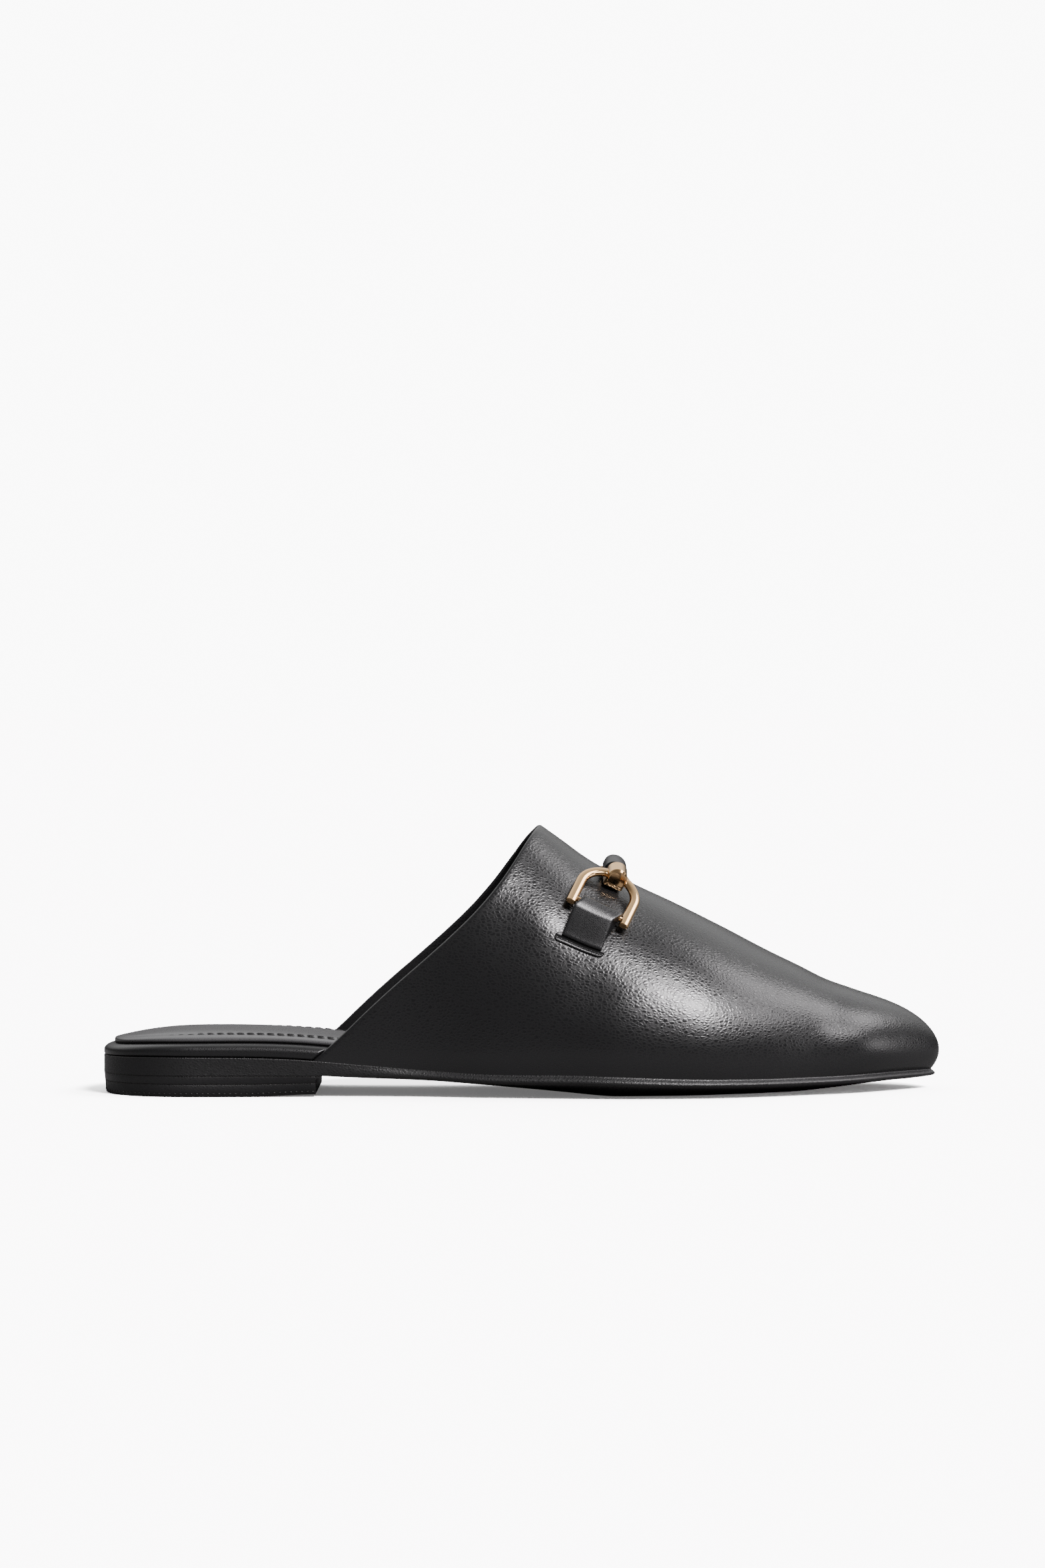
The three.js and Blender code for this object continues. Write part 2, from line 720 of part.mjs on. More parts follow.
function cap(frame) {
  const along = barAlong(frame.side * capReach).multiplyScalar(frame.side);
  const up = along.clone().cross(bitAcross).multiplyScalar(-frame.side).normalize();
  const across = up.clone().cross(along);
  const shape = new THREE.Shape(domePoints(capWidth, capHeight));
  const centre = frame.centre.clone().addScaledVector(along, capForward);
  return pushed(shape, centre, across, up, along, capDepth, capBevel).subtract(ringBody(frame, clearance));
}

// The tab: leather folded round the pin, its two layers lying down the upper to a tucked end

function tabRing(frame, offset) {
  const { side, down, normal } = frame;
  const pin = frame.inRing(offset, pinPlace);
  const startLevel = levelAt(side, capReach + pinPlace);
  const endLevel = levelAt(side, tabReach);
  const under = [];
  const over = [];
  for (let i = 0; i <= tabSteps; i += 1) {
    const share = i / tabSteps;
    const level = startLevel + (endLevel - startLevel) * share;
    const ahead = offset + tabTurn * share;
    const point = saddlePoint(side, level, ahead);
    const out = saddleNormal(side, level, ahead);
    const high = tabRest + tabLeather + tabRise * (1 - share) ** tabTaper;
    const pinched = Math.min(share / tabPinch, 1);
    const low = seatRest + (high - tabLeather * (2 - share) - seatRest) * pinched;
    under.push(point.clone().addScaledVector(out, low));
    over.push(point.clone().addScaledVector(out, high));
  }
  const fold = [];
  for (let i = 0; i <= foldSteps; i += 1) {
    const turn = Math.PI * (i / foldSteps);
    const point = pin.clone().addScaledVector(normal, Math.cos(turn) * foldRadius);
    fold.push(point.addScaledVector(down, -Math.sin(turn) * foldRadius));
  }
  return [...fold, ...under, ...over.slice(1).reverse()];
}

function tab(frame) {
  const rings = [];
  for (let i = 0; i <= tabAcross; i += 1) {
    rings.push(tabRing(frame, tabShift + tabWidth * (i / tabAcross - 1 / 2)));
  }
  return loft(rings).subtract(pinBody(frame, pinWire / 2 + clearance, tabWidth));
}

// Materials and the whole shoe

const blackLeather = { color: 0x1c1c1e, roughness: 0.45, metalness: 0 };
const blackSole = { color: 0x222224, roughness: 0.7, metalness: 0 };
const blackRubber = { color: 0x1a1a1b, roughness: 0.8, metalness: 0 };
const sockLeather = { color: 0x232325, roughness: 0.5, metalness: 0 };
const paleGold = { color: 0xd9b583, roughness: 0.18, metalness: 1 };

const shoe = new THREE.Group();

function place(name, solid, finish) {
  const mesh = new THREE.Mesh(geometryOf(solid), new THREE.MeshStandardMaterial(finish));
  mesh.name = name;
  shoe.add(mesh);
}

place('upper', upper, blackLeather);
place('outsole', outsole, blackSole);
place('heel', heelBlock, blackSole);
place('top_lift', topLift, blackRubber);
place('footbed', footbed, blackLeather);
place('sock', sock, sockLeather);
place('bit_bar', bar, blackLeather);
[{ side: -1, label: 'outer' }, { side: 1, label: 'inner' }].forEach(({ side, label }) => {
  const frame = bitSide(side);
  place(`bit_cap_${label}`, cap(frame), paleGold);
  place(`bit_ring_${label}`, ring(frame), paleGold);
  place(`bit_tab_${label}`, tab(frame), blackLeather);
});

// The origin is on the floor under the middle of the shoe
const extent = new THREE.Box3().setFromObject(shoe);
shoe.position.set(-(extent.min.x + extent.max.x) / 2, -(extent.min.y + extent.max.y) / 2, -extent.min.z);

export default shoe;
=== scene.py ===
import math

import bmesh
import bpy
import numpy as np
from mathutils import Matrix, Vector


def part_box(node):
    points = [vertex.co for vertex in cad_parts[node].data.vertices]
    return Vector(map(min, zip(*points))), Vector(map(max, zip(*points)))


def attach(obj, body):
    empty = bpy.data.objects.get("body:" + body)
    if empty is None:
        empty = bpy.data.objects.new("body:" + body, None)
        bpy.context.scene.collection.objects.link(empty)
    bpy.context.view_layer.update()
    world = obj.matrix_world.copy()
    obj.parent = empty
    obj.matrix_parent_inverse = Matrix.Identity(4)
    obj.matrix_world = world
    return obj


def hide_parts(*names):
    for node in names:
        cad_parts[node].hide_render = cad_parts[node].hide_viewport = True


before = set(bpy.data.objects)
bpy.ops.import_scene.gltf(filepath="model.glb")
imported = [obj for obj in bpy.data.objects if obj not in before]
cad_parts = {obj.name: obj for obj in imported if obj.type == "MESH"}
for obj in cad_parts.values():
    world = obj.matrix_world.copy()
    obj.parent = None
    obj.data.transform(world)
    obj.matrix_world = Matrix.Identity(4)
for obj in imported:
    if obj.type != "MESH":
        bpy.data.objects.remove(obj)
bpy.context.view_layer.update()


# Camera, floor and light
# The shoe stands on a white studio floor and is seen square from its outer side, a little above the instep.
# A broad soft light hangs ahead of it on the camera's side, weaker ones beyond the toe, and the room behind
# and over it is paler than the room in front. The ridge leans in from the shoe's middle line under the bit.

heel_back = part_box("outsole")[0].x
bar_low, bar_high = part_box("bit_bar")
ridge_lean = 0.0026
foot_line = (bar_low.y + bar_high.y) / 2 - ridge_lean
camera_distance = 1.65
camera_height = 0.125
camera_along = 0.1307
camera_tilt = math.radians(1.009)
lens_length = 121.17
film_width = 36

camera_data = bpy.data.cameras.new("photo_camera")
camera_data.lens = lens_length
camera_data.sensor_width = film_width
camera = bpy.data.objects.new("photo_camera", camera_data)
camera.location = (heel_back + camera_along, foot_line - camera_distance, camera_height)
camera.rotation_euler = (math.pi / 2 - camera_tilt, 0, 0)
bpy.context.scene.collection.objects.link(camera)
bpy.context.scene.camera = camera

floor_size = 60
floor_seen = 4.5
floor_bounce = 0.17
floor_fill = 0.15
backdrop_seen = 10.0
room_low = 0.1
room_high = 1.4
room_front = 0.06
room_rise_from, room_rise_to = 0.12, 0.66
room_back_from, room_back_to = -0.35, 0.75


def graded(tree, value, start, end, low=0.0, high=1.0, soft=False):
    """A node that takes a value at start to low and at end to high, evenly or along a smooth S."""
    node = tree.nodes.new("ShaderNodeMapRange")
    node.interpolation_type = "SMOOTHSTEP" if soft else "LINEAR"
    node.inputs["From Min"].default_value = start
    node.inputs["From Max"].default_value = end
    node.inputs["To Min"].default_value = low
    node.inputs["To Max"].default_value = high
    tree.links.new(value, node.inputs["Value"])
    return node.outputs["Result"]


bpy.ops.mesh.primitive_plane_add(size=floor_size, location=(0, 0, 0))
floor = bpy.context.object
floor.name = "studio_floor"
floor_paint = bpy.data.materials.new("studio_floor")
floor_paint.use_nodes = True
floor_tree = floor_paint.node_tree
floor_tree.nodes.clear()
floor_chalk = floor_tree.nodes.new("ShaderNodeBsdfDiffuse")
floor_glow = floor_tree.nodes.new("ShaderNodeEmission")
floor_sum = floor_tree.nodes.new("ShaderNodeAddShader")
floor_out = floor_tree.nodes.new("ShaderNodeOutputMaterial")
floor_in_view = floor_tree.nodes.new("ShaderNodeLightPath").outputs["Is Camera Ray"]
floor_level = graded(floor_tree, floor_in_view, 0, 1, floor_bounce, floor_seen)
floor_shine = graded(floor_tree, floor_in_view, 0, 1, 0, floor_fill)
floor_tree.links.new(floor_level, floor_chalk.inputs["Color"])
floor_tree.links.new(floor_shine, floor_glow.inputs["Strength"])
floor_tree.links.new(floor_chalk.outputs["BSDF"], floor_sum.inputs[0])
floor_tree.links.new(floor_glow.outputs["Emission"], floor_sum.inputs[1])
floor_tree.links.new(floor_sum.outputs["Shader"], floor_out.inputs["Surface"])
floor.data.materials.append(floor_paint)

room = bpy.data.worlds.new("studio_room")
room.use_nodes = True
room_tree = room.node_tree
room_glow = room_tree.nodes["Background"]
room_way = room_tree.nodes.new("ShaderNodeTexCoord")
room_split = room_tree.nodes.new("ShaderNodeSeparateXYZ")
room_tree.links.new(room_way.outputs["Generated"], room_split.inputs["Vector"])
room_rise = graded(room_tree, room_split.outputs["Z"], room_rise_from, room_rise_to, soft=True)
room_back = graded(room_tree, room_split.outputs["Y"], room_back_from, room_back_to, room_front, soft=True)
room_both = room_tree.nodes.new("ShaderNodeMath")
room_both.operation = "MULTIPLY"
room_tree.links.new(room_rise, room_both.inputs[0])
room_tree.links.new(room_back, room_both.inputs[1])
room_level = graded(room_tree, room_both.outputs[0], 0, 1, room_low, room_high)
room_tree.links.new(room_level, room_glow.inputs["Strength"])
backdrop_glow = room_tree.nodes.new("ShaderNodeBackground")
backdrop_glow.inputs["Strength"].default_value = backdrop_seen
room_in_view = room_tree.nodes.new("ShaderNodeLightPath").outputs["Is Camera Ray"]
room_mix = room_tree.nodes.new("ShaderNodeMixShader")
room_tree.links.new(room_in_view, room_mix.inputs[0])
room_tree.links.new(room_glow.outputs["Background"], room_mix.inputs[1])
room_tree.links.new(backdrop_glow.outputs["Background"], room_mix.inputs[2])
room_tree.links.new(room_mix.outputs["Shader"], room_tree.nodes["World Output"].inputs["Surface"])
for glow in (room_glow, backdrop_glow):
    glow.inputs["Color"].default_value = (1, 1, 1, 1)
bpy.context.scene.world = room

lamp_colour = (1.0, 0.965, 0.985)


def broad_light(name, azimuth, elevation, spread, brightness):
    """A far round softbox, spread degrees across. Azimuth 0 is the camera's side, 90 the toe's.

    Its strength is its brightness times the cap of sky that it fills.
    """
    turn, rise = math.radians(azimuth), math.radians(elevation)
    place = Vector((math.sin(turn) * math.cos(rise), -math.cos(turn) * math.cos(rise), math.sin(rise)))
    lamp = bpy.data.lights.new(name, "SUN")
    lamp.angle = math.radians(spread)
    lamp.energy = brightness * math.pi * math.sin(math.radians(spread) / 2) ** 2
    lamp.color = lamp_colour
    light = bpy.data.objects.new(name, lamp)
    light.location = place
    light.rotation_euler = (-place).to_track_quat("-Z", "Y").to_euler()
    bpy.context.scene.collection.objects.link(light)


lights = {
    "name": ["key_light", "side_light", "toe_light", "low_light"],
    "azimuth": [34, 64, 99, 82],
    "elevation": [43, 40, 48, 9],
    "spread": [17, 18, 26, 24],
    "brightness": [84, 8, 7.4, 3.2],
}
for row in zip(*lights.values()):
    broad_light(*row)


# Upper
# One wall of pebbled black leather, lasted over the form and left open at the back and underneath. Its collar
# slants down from the instep to the sole with a rounded edge, and shallow creases are worn into its sides.

last_length = 0.262
heel_width = 0.0575
ball_width = 0.084
instep_height = 0.0835
toe_height = 0.0286
seat_height = 0.0122
forepart_height = 0.006
wall_bulge = 0.007
toe_swing = 0.012
swing_start, swing_end = 0.7, 0.98
heel_round = 0.03
toe_round = 0.027
toe_crown = 0.024
toe_undercut = 0.0025
undercut_start = 0.8
side_undercut = 0.001
upper_wall = 0.0018
collar_start = 0.064
collar_peak = 0.1359
collar_foot = 0.0106
collar_skew = 0.0022
heel_fullness = 2.3
toe_fullness = 2.6
crown_fullness = 3.2
slope_reach = 0.004
halvings = 36

plan = {
    "at": [0, 0.23, 0.31, 0.38, 0.46, 0.54, 0.61, 0.67, 0.72, 0.78, 0.84, 0.9, 0.95, 1],
    "heel": [1, 1, 0.85, 0.7, 0.4, 0.14, 0, 0, 0, 0, 0, 0, 0, 0],
    "outer": [1, 1, 0.95, 0.93, 0.94, 0.94, 0.95, 0.93, 0.88, 0.745, 0.55, 0.36, 0.14, -0.08],
    "inner": [1, 0.97, 0.82, 0.74, 0.7, 0.76, 0.88, 0.99, 1.035, 1.02, 0.945, 0.85, 0.79, 0.72],
}
feather = {
    "at": [0, 0.05, 0.115, 0.233, 0.309, 0.374, 0.458, 0.557, 0.72, 0.86, 0.95, 1],
    "drop": [0.08, 0, 0, 0.1, 0.36, 0.58, 0.77, 0.78, 1, 1.03, 0.96, 0.98],
}
ridge = {
    "at": [0.2, 0.34, 0.44, 0.5187, 0.543, 0.575, 0.607, 0.6385,
           0.67, 0.734, 0.798, 0.83, 0.861, 0.893, 0.925, 1],
    "height": [1.46, 1.37, 1.2, 1, 0.918, 0.807, 0.718, 0.642,
               0.573, 0.422, 0.262, 0.188, 0.113, 0.057, 0.006, -0.1],
    "lean": [0, 0.008, 0.014, 0.02, 0.023, 0.027, 0.031, 0.036,
             0.041, 0.046, 0.031, 0.015, 0.004, 0, 0, 0],
    "bulge": [0.6, 0.82, 0.98, 1.06, 1.09, 1.1, 1.1, 1.09,
              1.08, 1.05, 1, 0.97, 0.95, 0.92, 0.9, 0.85],
    "round": [1.95, 1.9, 1.85, 1.8, 1.78, 1.75, 1.75, 1.76,
              1.78, 1.82, 1.9, 1.95, 2, 2.05, 2.1, 2.1],
}
collar = {
    "rise": [0, 0.104, 0.218, 0.326, 0.428, 0.533, 0.628, 0.742, 0.852, 0.946, 1],
    "along": [0, 0.12, 0.24, 0.36, 0.48, 0.6, 0.7, 0.8, 0.88, 0.95, 1],
}
sole = {
    "at": [0, 0.23, 0.27, 0.32, 0.374, 0.458, 0.557, 0.62, 0.72, 0.85, 0.93, 1],
    "rim": [1, 1, 1, 0.87, 0.72, 0.69, 0.74, 0.7, 0.6, 0.58, 0.56, 0.5],
    "proud": [0, 0, 0.05, 0.25, 0.6, 0.9, 1, 1, 1, 1, 1, 1],
    "belly": [0, 0, 0, 0.07, 0.14, 0.3, 0.72, 1, 1, 1, 0.68, 0.4],
}


def smooth_line(table, column, where, key="at"):
    """A cubic through a table's rows, whose slope at each row is the mean of its neighbours', by distance."""
    x = np.array(table[key], float)
    y = np.array(table[column], float)
    step = np.diff(x)
    chord = np.diff(y) / step
    inner = (chord[:-1] * step[1:] + chord[1:] * step[:-1]) / (step[:-1] + step[1:])
    slope = np.concatenate(([chord[0]], inner, [chord[-1]]))
    share = np.clip(where, x[0], x[-1])
    i = np.clip(np.searchsorted(x, share, side="left") - 1, 0, len(x) - 2)
    t = (share - x[i]) / step[i]
    blend = t * t * (3 - 2 * t)
    pull = step[i] * t * (1 - t) * ((1 - t) * slope[i] - t * slope[i + 1])
    return y[i] * (1 - blend) + y[i + 1] * blend + pull


def ease(value, low, high):
    """Nought below low, one above high and a smooth S between."""
    t = np.clip((value - low) / (high - low), 0, 1)
    return t * t * (3 - 2 * t)


def heel_close(at):
    """How far the outline has opened from the back of the heel, as a rounded corner of its own fullness."""
    away = np.clip(1 - at * last_length / heel_round, 0, 1)
    return (1 - away ** heel_fullness) ** (1 / heel_fullness)


def tip_close(at, depth, fullness):
    """How far the outline has still to close towards the toe's tip."""
    near = np.clip(1 - (1 - at) * last_length / depth, 0, 1)
    return np.sqrt(1 - near ** fullness)


def feather_height(at):
    """The height of the line where the upper meets the sole."""
    return seat_height - (seat_height - forepart_height) * smooth_line(feather, "drop", at)


def crest_height(at):
    """The height of the ridge over the instep and down to the toe."""
    return toe_height + (instep_height - toe_height) * smooth_line(ridge, "height", at)


def swung_middle(at):
    """How far the middle of the outline has swung to the inner side."""
    return toe_swing * ease(at, swing_start, swing_end)


def last_edge(at, side, inset):
    """The outline from above: half widths of heel and ball mixed along the length, closed to the middle."""
    heel_share = smooth_line(plan, "heel", at)
    full = (heel_width * heel_share + ball_width * (1 - heel_share)) / 2
    half = full * np.where(side > 0, smooth_line(plan, "inner", at), smooth_line(plan, "outer", at)) - inset
    middle = swung_middle(at)
    return middle + (side * half * heel_close(at) - middle) * tip_close(at, toe_round, toe_fullness)


def edge_proud(at):
    """How far the sole's edge stands out, as a share: flush at the heel, full at the forefoot."""
    return smooth_line(sole, "proud", at)


def last_point(at, side, level, inset=0.0):
    """The last's surface, drawn in by inset. Level 0 is the feather line, 1 the widest line and 2 the ridge.

    Below level 1 a wall leans in to the feather line. Above it the section is a superellipse from the edge to
    the ridge.
    """
    at, side, level, inset = np.broadcast_arrays(at, side, level, inset)
    x = inset + at * (last_length - 2 * inset)
    edge = last_edge(at, side, inset)
    low = feather_height(at)
    wide = low + wall_bulge * smooth_line(ridge, "bulge", at)
    tuck = np.clip(1 - level, 0, 1) ** 2
    side_tuck = side * side_undercut * edge_proud(at) * tip_close(at, toe_round, toe_fullness) * tuck
    tip_tuck = toe_undercut * ease(at, undercut_start, 1) * tuck
    turn = np.clip(level - 1, 0, 1) * math.pi / 2
    power = 2 / smooth_line(ridge, "round", at)
    out = np.clip(np.cos(turn), 0, 1) ** power
    up = np.sin(turn) ** power
    climb = crest_height(at + slope_reach) - crest_height(at - slope_reach)
    slope = climb / (2 * slope_reach * last_length)
    crest = crest_height(at) - inset * np.hypot(1, slope)
    ridge_line = swung_middle(at) + ball_width * smooth_line(ridge, "lean", at)
    top = wide + (crest - wide) * tip_close(at, toe_crown, crown_fullness)
    low_part = level <= 1
    y = np.where(low_part, edge - side_tuck, ridge_line + (edge - ridge_line) * out)
    z = np.where(low_part, low + (wide - low) * np.clip(level, 0, 1), wide + (top - wide) * up)
    return np.stack([x - np.where(low_part, tip_tuck, 0), y, z], -1)


def past_collar(x, y, z):
    """How far ahead of the collar's slanted cut a place lies, along the shoe."""
    rise = (z - collar_foot) / (instep_height - collar_foot)
    along = collar_start + (collar_peak - collar_start) * smooth_line(collar, "along", rise, "rise")
    return x + y * collar_skew / heel_width - along


def halved(past, shape, low, high):
    """In each place of a shape, the share of the length from which on a test holds, found by halving."""
    low, high = np.full(shape, low), np.full(shape, high)
    for _ in range(halvings):
        middle = (low + high) / 2
        beyond = past(middle)
        low, high = np.where(beyond, low, middle), np.where(beyond, middle, high)
    return low


def collar_place(side, level, inset, margin):
    """The share of the length where a level of the upper starts, ahead of the collar's cut by a margin.

    The cut slants by about 45 degrees, so a margin square to it is longer along the shoe by the root of two.
    """
    def past(share):
        point = last_point(share, side, level, inset)
        return past_collar(point[..., 0], point[..., 1], point[..., 2]) > margin * math.sqrt(2)
    return halved(past, np.broadcast(side, level).shape, 0.2, 0.62)


def in_frame(points):
    """Moves points from the last's own origin, at the back of the heel, into the frame."""
    return points + np.array([heel_back, foot_line, 0])


def sheet_mesh(name, grid, closed=False):
    """A mesh of quads on a grid of points, with its columns closed to a ring where asked."""
    rows, columns = grid.shape[:2]
    index = np.arange(rows * columns).reshape(rows, columns)
    if closed:
        index = np.hstack([index, index[:, :1]])
    a, b, c, d = index[:-1, :-1], index[:-1, 1:], index[1:, 1:], index[1:, :-1]
    return mesh_object(name, grid.reshape(-1, 3), np.stack([a, b, c, d], -1).reshape(-1, 4))


def mesh_object(name, points, faces, crisp=None):
    """A smooth-shaded object at the origin, with touching corners merged and its faces turned outwards.

    Where crisp is given, an edge whose faces turn by more degrees than that stays sharp.
    """
    data = bpy.data.meshes.new(name)
    data.from_pydata(in_frame(points).tolist(), [], [list(map(int, face)) for face in faces])
    weld = bmesh.new()
    weld.from_mesh(data)
    bmesh.ops.remove_doubles(weld, verts=weld.verts, dist=1e-6)
    bmesh.ops.dissolve_degenerate(weld, edges=weld.edges, dist=1e-7)
    bmesh.ops.recalc_face_normals(weld, faces=weld.faces)
    sharp = [edge for edge in weld.edges if crisp and edge.calc_face_angle(0) > math.radians(crisp)]
    for face in weld.faces:
        face.smooth = True
    for edge in sharp:
        edge.smooth = False
    weld.to_mesh(data)
    weld.free()
    piece = bpy.data.objects.new(name, data)
    bpy.context.scene.collection.objects.link(piece)
    return piece


side_rows = 9
dome_rows = 60
ridge_column = side_rows + dome_rows - 2
toe_crowding = 1.7


def upper_grid(inset, margin, rows):
    """Rows from the collar to the tip, each over the instep from the outer feather line to the inner one.

    The rows crowd together towards the tip, by a power.
    """
    levels = np.concatenate([np.linspace(0, 1, side_rows)[:-1], np.linspace(1, 2, dome_rows)])
    level = np.concatenate([levels, levels[-2::-1]])
    side = np.where(np.arange(len(level)) <= ridge_column, -1.0, 1.0)
    start = collar_place(side, level, inset, margin)
    share = 1 - (1 - np.linspace(0, 1, rows)) ** toe_crowding
    at = start + (1 - start) * share[:, None]
    return last_point(at, side, level, inset)


def joined_wall(outside, inside, turns):
    """The outside, a round edge along the collar and the inside, as one run of rows."""
    middle = (outside[0] + inside[0]) / 2
    half = (outside[0] - inside[0]) / 2
    back = outside[0] - outside[1]
    back /= np.linalg.norm(back, axis=-1, keepdims=True)
    radius = np.linalg.norm(half, axis=-1, keepdims=True)
    angle = np.linspace(0, math.pi, turns + 2)[1:-1, None, None]
    edge = middle + half * np.cos(angle) + back * radius * np.sin(angle)
    return np.concatenate([outside[::-1], edge, inside])


creases = {
    "along": [0.1365, 0.132, 0.153, 0.227, 0.2415, 0.186, 0.12],
    "high": [0.0545, 0.077, 0.0325, 0.026, 0.0145, 0.043, 0.036],
    "tilt": [-30, -35, 25, 68, -20, -28, 55],
    "length": [0.0075, 0.016, 0.010, 0.012, 0.010, 0.022, 0.020],
    "width": [0.006, 0.011, 0.006, 0.0065, 0.005, 0.007, 0.008],
    "swell": [0.0005, -0.0012, -0.0005, -0.0006, 0.0004, 0.0003, -0.0003],
}
ridge_fade = 0.006
inner_swell = 0.6


def creased(points, side):
    """The wall's outside with the worn-in swells and troughs, each a soft oval placed in the side view.

    A swell is a bell in its own length and width. It moves the wall straight out, weaker on the inner side,
    and it fades out towards the ridge.
    """
    move = np.zeros(points.shape[:2])
    for x, z, tilt, length, width, swell in zip(*creases.values()):
        turn = math.radians(tilt)
        ahead, up = points[..., 0] - x, points[..., 2] - z
        run = ahead * math.cos(turn) + up * math.sin(turn)
        aside = up * math.cos(turn) - ahead * math.sin(turn)
        move += swell * np.exp(-(run / length) ** 2 - (aside / width) ** 2)
    move *= ease(np.abs(points[..., 1] - points[:, ridge_column, None, 1]), 0.0, ridge_fade)
    return points + np.stack([0 * move, side * move * np.where(side > 0, inner_swell, 1), 0 * move], -1)


collar_radius = upper_wall / 2
outside_rows, lining_rows, collar_rows = 210, 90, 7
outside = upper_grid(0.0, collar_radius, outside_rows)
outside = creased(outside, np.where(np.arange(outside.shape[1]) <= ridge_column, -1.0, 1.0))
lining = upper_grid(upper_wall, collar_radius, lining_rows)
upper = sheet_mesh("upper_leather", joined_wall(outside, lining, collar_rows))

upper_points = np.empty(len(upper.data.vertices) * 3)
upper.data.vertices.foreach_get("co", upper_points)
upper_points = upper_points.reshape(-1, 3) - np.array([heel_back, foot_line, 0])
above_sole = upper_points[:, 2] - feather_height(upper_points[:, 0] / last_length)
height_layer = upper.data.attributes.new("above_sole", "FLOAT", "POINT")
height_layer.data.foreach_set("value", above_sole.astype(np.float32))

coat_roughness = 0.15
wander_pitch = 0.7
wander_reach = 0.6
pebble_stretch = 0.66
pebble_border = 0.4
swell_pitch = 0.35
crease_dulling = 0.12
pebble_polish = 0.02
fade_start, fade_end = 0.003, 0.013
faded_grain = 0.3
jet_black = (0.005, 0.005, 0.0055)
soot_black = (0.006, 0.006, 0.0065)
upper_black = (0.008, 0.008, 0.0085)
# The sock is black leather. This grey is a painted sheen that stands in for the room behind reflecting on its
# top.
painted_sheen_grey = (0.045, 0.045, 0.047)


def noise(tree, place, scale, detail):
    """A soft noise over the object's own coordinates."""
    node = tree.nodes.new("ShaderNodeTexNoise")
    node.inputs["Scale"].default_value = scale
    node.inputs["Detail"].default_value = detail
    tree.links.new(place, node.inputs["Vector"])
    return node


def leather(name, colour, roughness, grain, depth, coat=0.0, faded=None):
    """Leather: flat pebbles parted by thin, duller creases, with a faint swell over several pebbles.

    The pebbles are cells, longer along the shoe, whose height falls off close to their borders. Where faded
    names an attribute, a height in metres, the grain is pressed flatter low down.
    """
    paint = bpy.data.materials.new(name)
    paint.use_nodes = True
    tree = paint.node_tree
    shader = tree.nodes["Principled BSDF"]
    shader.inputs["Base Color"].default_value = (*colour, 1)
    shader.inputs["Coat Weight"].default_value = coat
    shader.inputs["Coat Roughness"].default_value = coat_roughness
    place = tree.nodes.new("ShaderNodeTexCoord").outputs["Object"]
    shift = tree.nodes.new("ShaderNodeVectorMath")
    shift.operation = "MULTIPLY_ADD"
    shift.inputs[1].default_value = (wander_reach * grain,) * 3
    tree.links.new(noise(tree, place, wander_pitch / grain, 1).outputs["Color"], shift.inputs[0])
    tree.links.new(place, shift.inputs[2])
    stretch = tree.nodes.new("ShaderNodeMapping")
    stretch.inputs["Scale"].default_value = (pebble_stretch, 1, 1)
    tree.links.new(shift.outputs["Vector"], stretch.inputs["Vector"])
    pebbles = tree.nodes.new("ShaderNodeTexVoronoi")
    pebbles.feature = "DISTANCE_TO_EDGE"
    pebbles.inputs["Scale"].default_value = 1 / grain
    tree.links.new(stretch.outputs["Vector"], pebbles.inputs["Vector"])
    flat = graded(tree, pebbles.outputs["Distance"], 0, pebble_border, soft=True)
    relief = tree.nodes.new("ShaderNodeMath")
    relief.operation = "ADD"
    tree.links.new(noise(tree, place, swell_pitch / grain, 2).outputs["Fac"], relief.inputs[0])
    tree.links.new(flat, relief.inputs[1])
    bump = tree.nodes.new("ShaderNodeBump")
    bump.inputs["Distance"].default_value = depth
    bump.inputs["Strength"].default_value = 1
    tree.links.new(relief.outputs[0], bump.inputs["Height"])
    tree.links.new(bump.outputs["Normal"], shader.inputs["Normal"])
    gloss = graded(tree, flat, 0, 1, roughness + crease_dulling, roughness - pebble_polish)
    tree.links.new(gloss, shader.inputs["Roughness"])
    if faded:
        height = tree.nodes.new("ShaderNodeAttribute")
        height.attribute_name = faded
        fade = graded(tree, height.outputs["Fac"], fade_start, fade_end, faded_grain, 1)
        tree.links.new(fade, bump.inputs["Strength"])
    return paint


upper_paint = leather("pebbled_black", upper_black, roughness=0.19, grain=0.0009, depth=0.000032, coat=0.03,
                      faded="above_sole")
upper.data.materials.append(upper_paint)
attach(upper, "root")
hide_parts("upper")


# Outsole
# A black sole in one piece from toe to heel, cemented on. Its edge is flush at the heel, and rounded and a
# little proud of the upper round the forefoot. Its underside swells down to the floor under the ball.

sole_rim = 0.0043
sole_seat = 0.0057
sole_edge_proud = 0.0012
sole_bevel = 0.015
heel_breast = 0.067
seat_underside = seat_height - sole_seat
sole_rows = 260
edge_steps = 19
belly_power = 1.6
rim = {
    "down": [0, 0.12, 0.3, 0.45, 0.62, 0.8, 0.92, 1],
    "out": [0, 0.12, 0.55, 0.86, 1, 0.88, 0.5, 0],
}


def sole_height(at):
    """The underside of the sole's edge: level under the heel seat, rising to the forepart's thinner edge."""
    thin = feather_height(at) - sole_rim * smooth_line(sole, "rim", at)
    share = ease(at * last_length, heel_breast, heel_breast + sole_rim)
    return seat_underside + (thin - seat_underside) * share


def along_last(count):
    """Shares of the length, close together at the heel's and the toe's round."""
    return (1 - np.cos(np.linspace(0, math.pi, count))) / 2


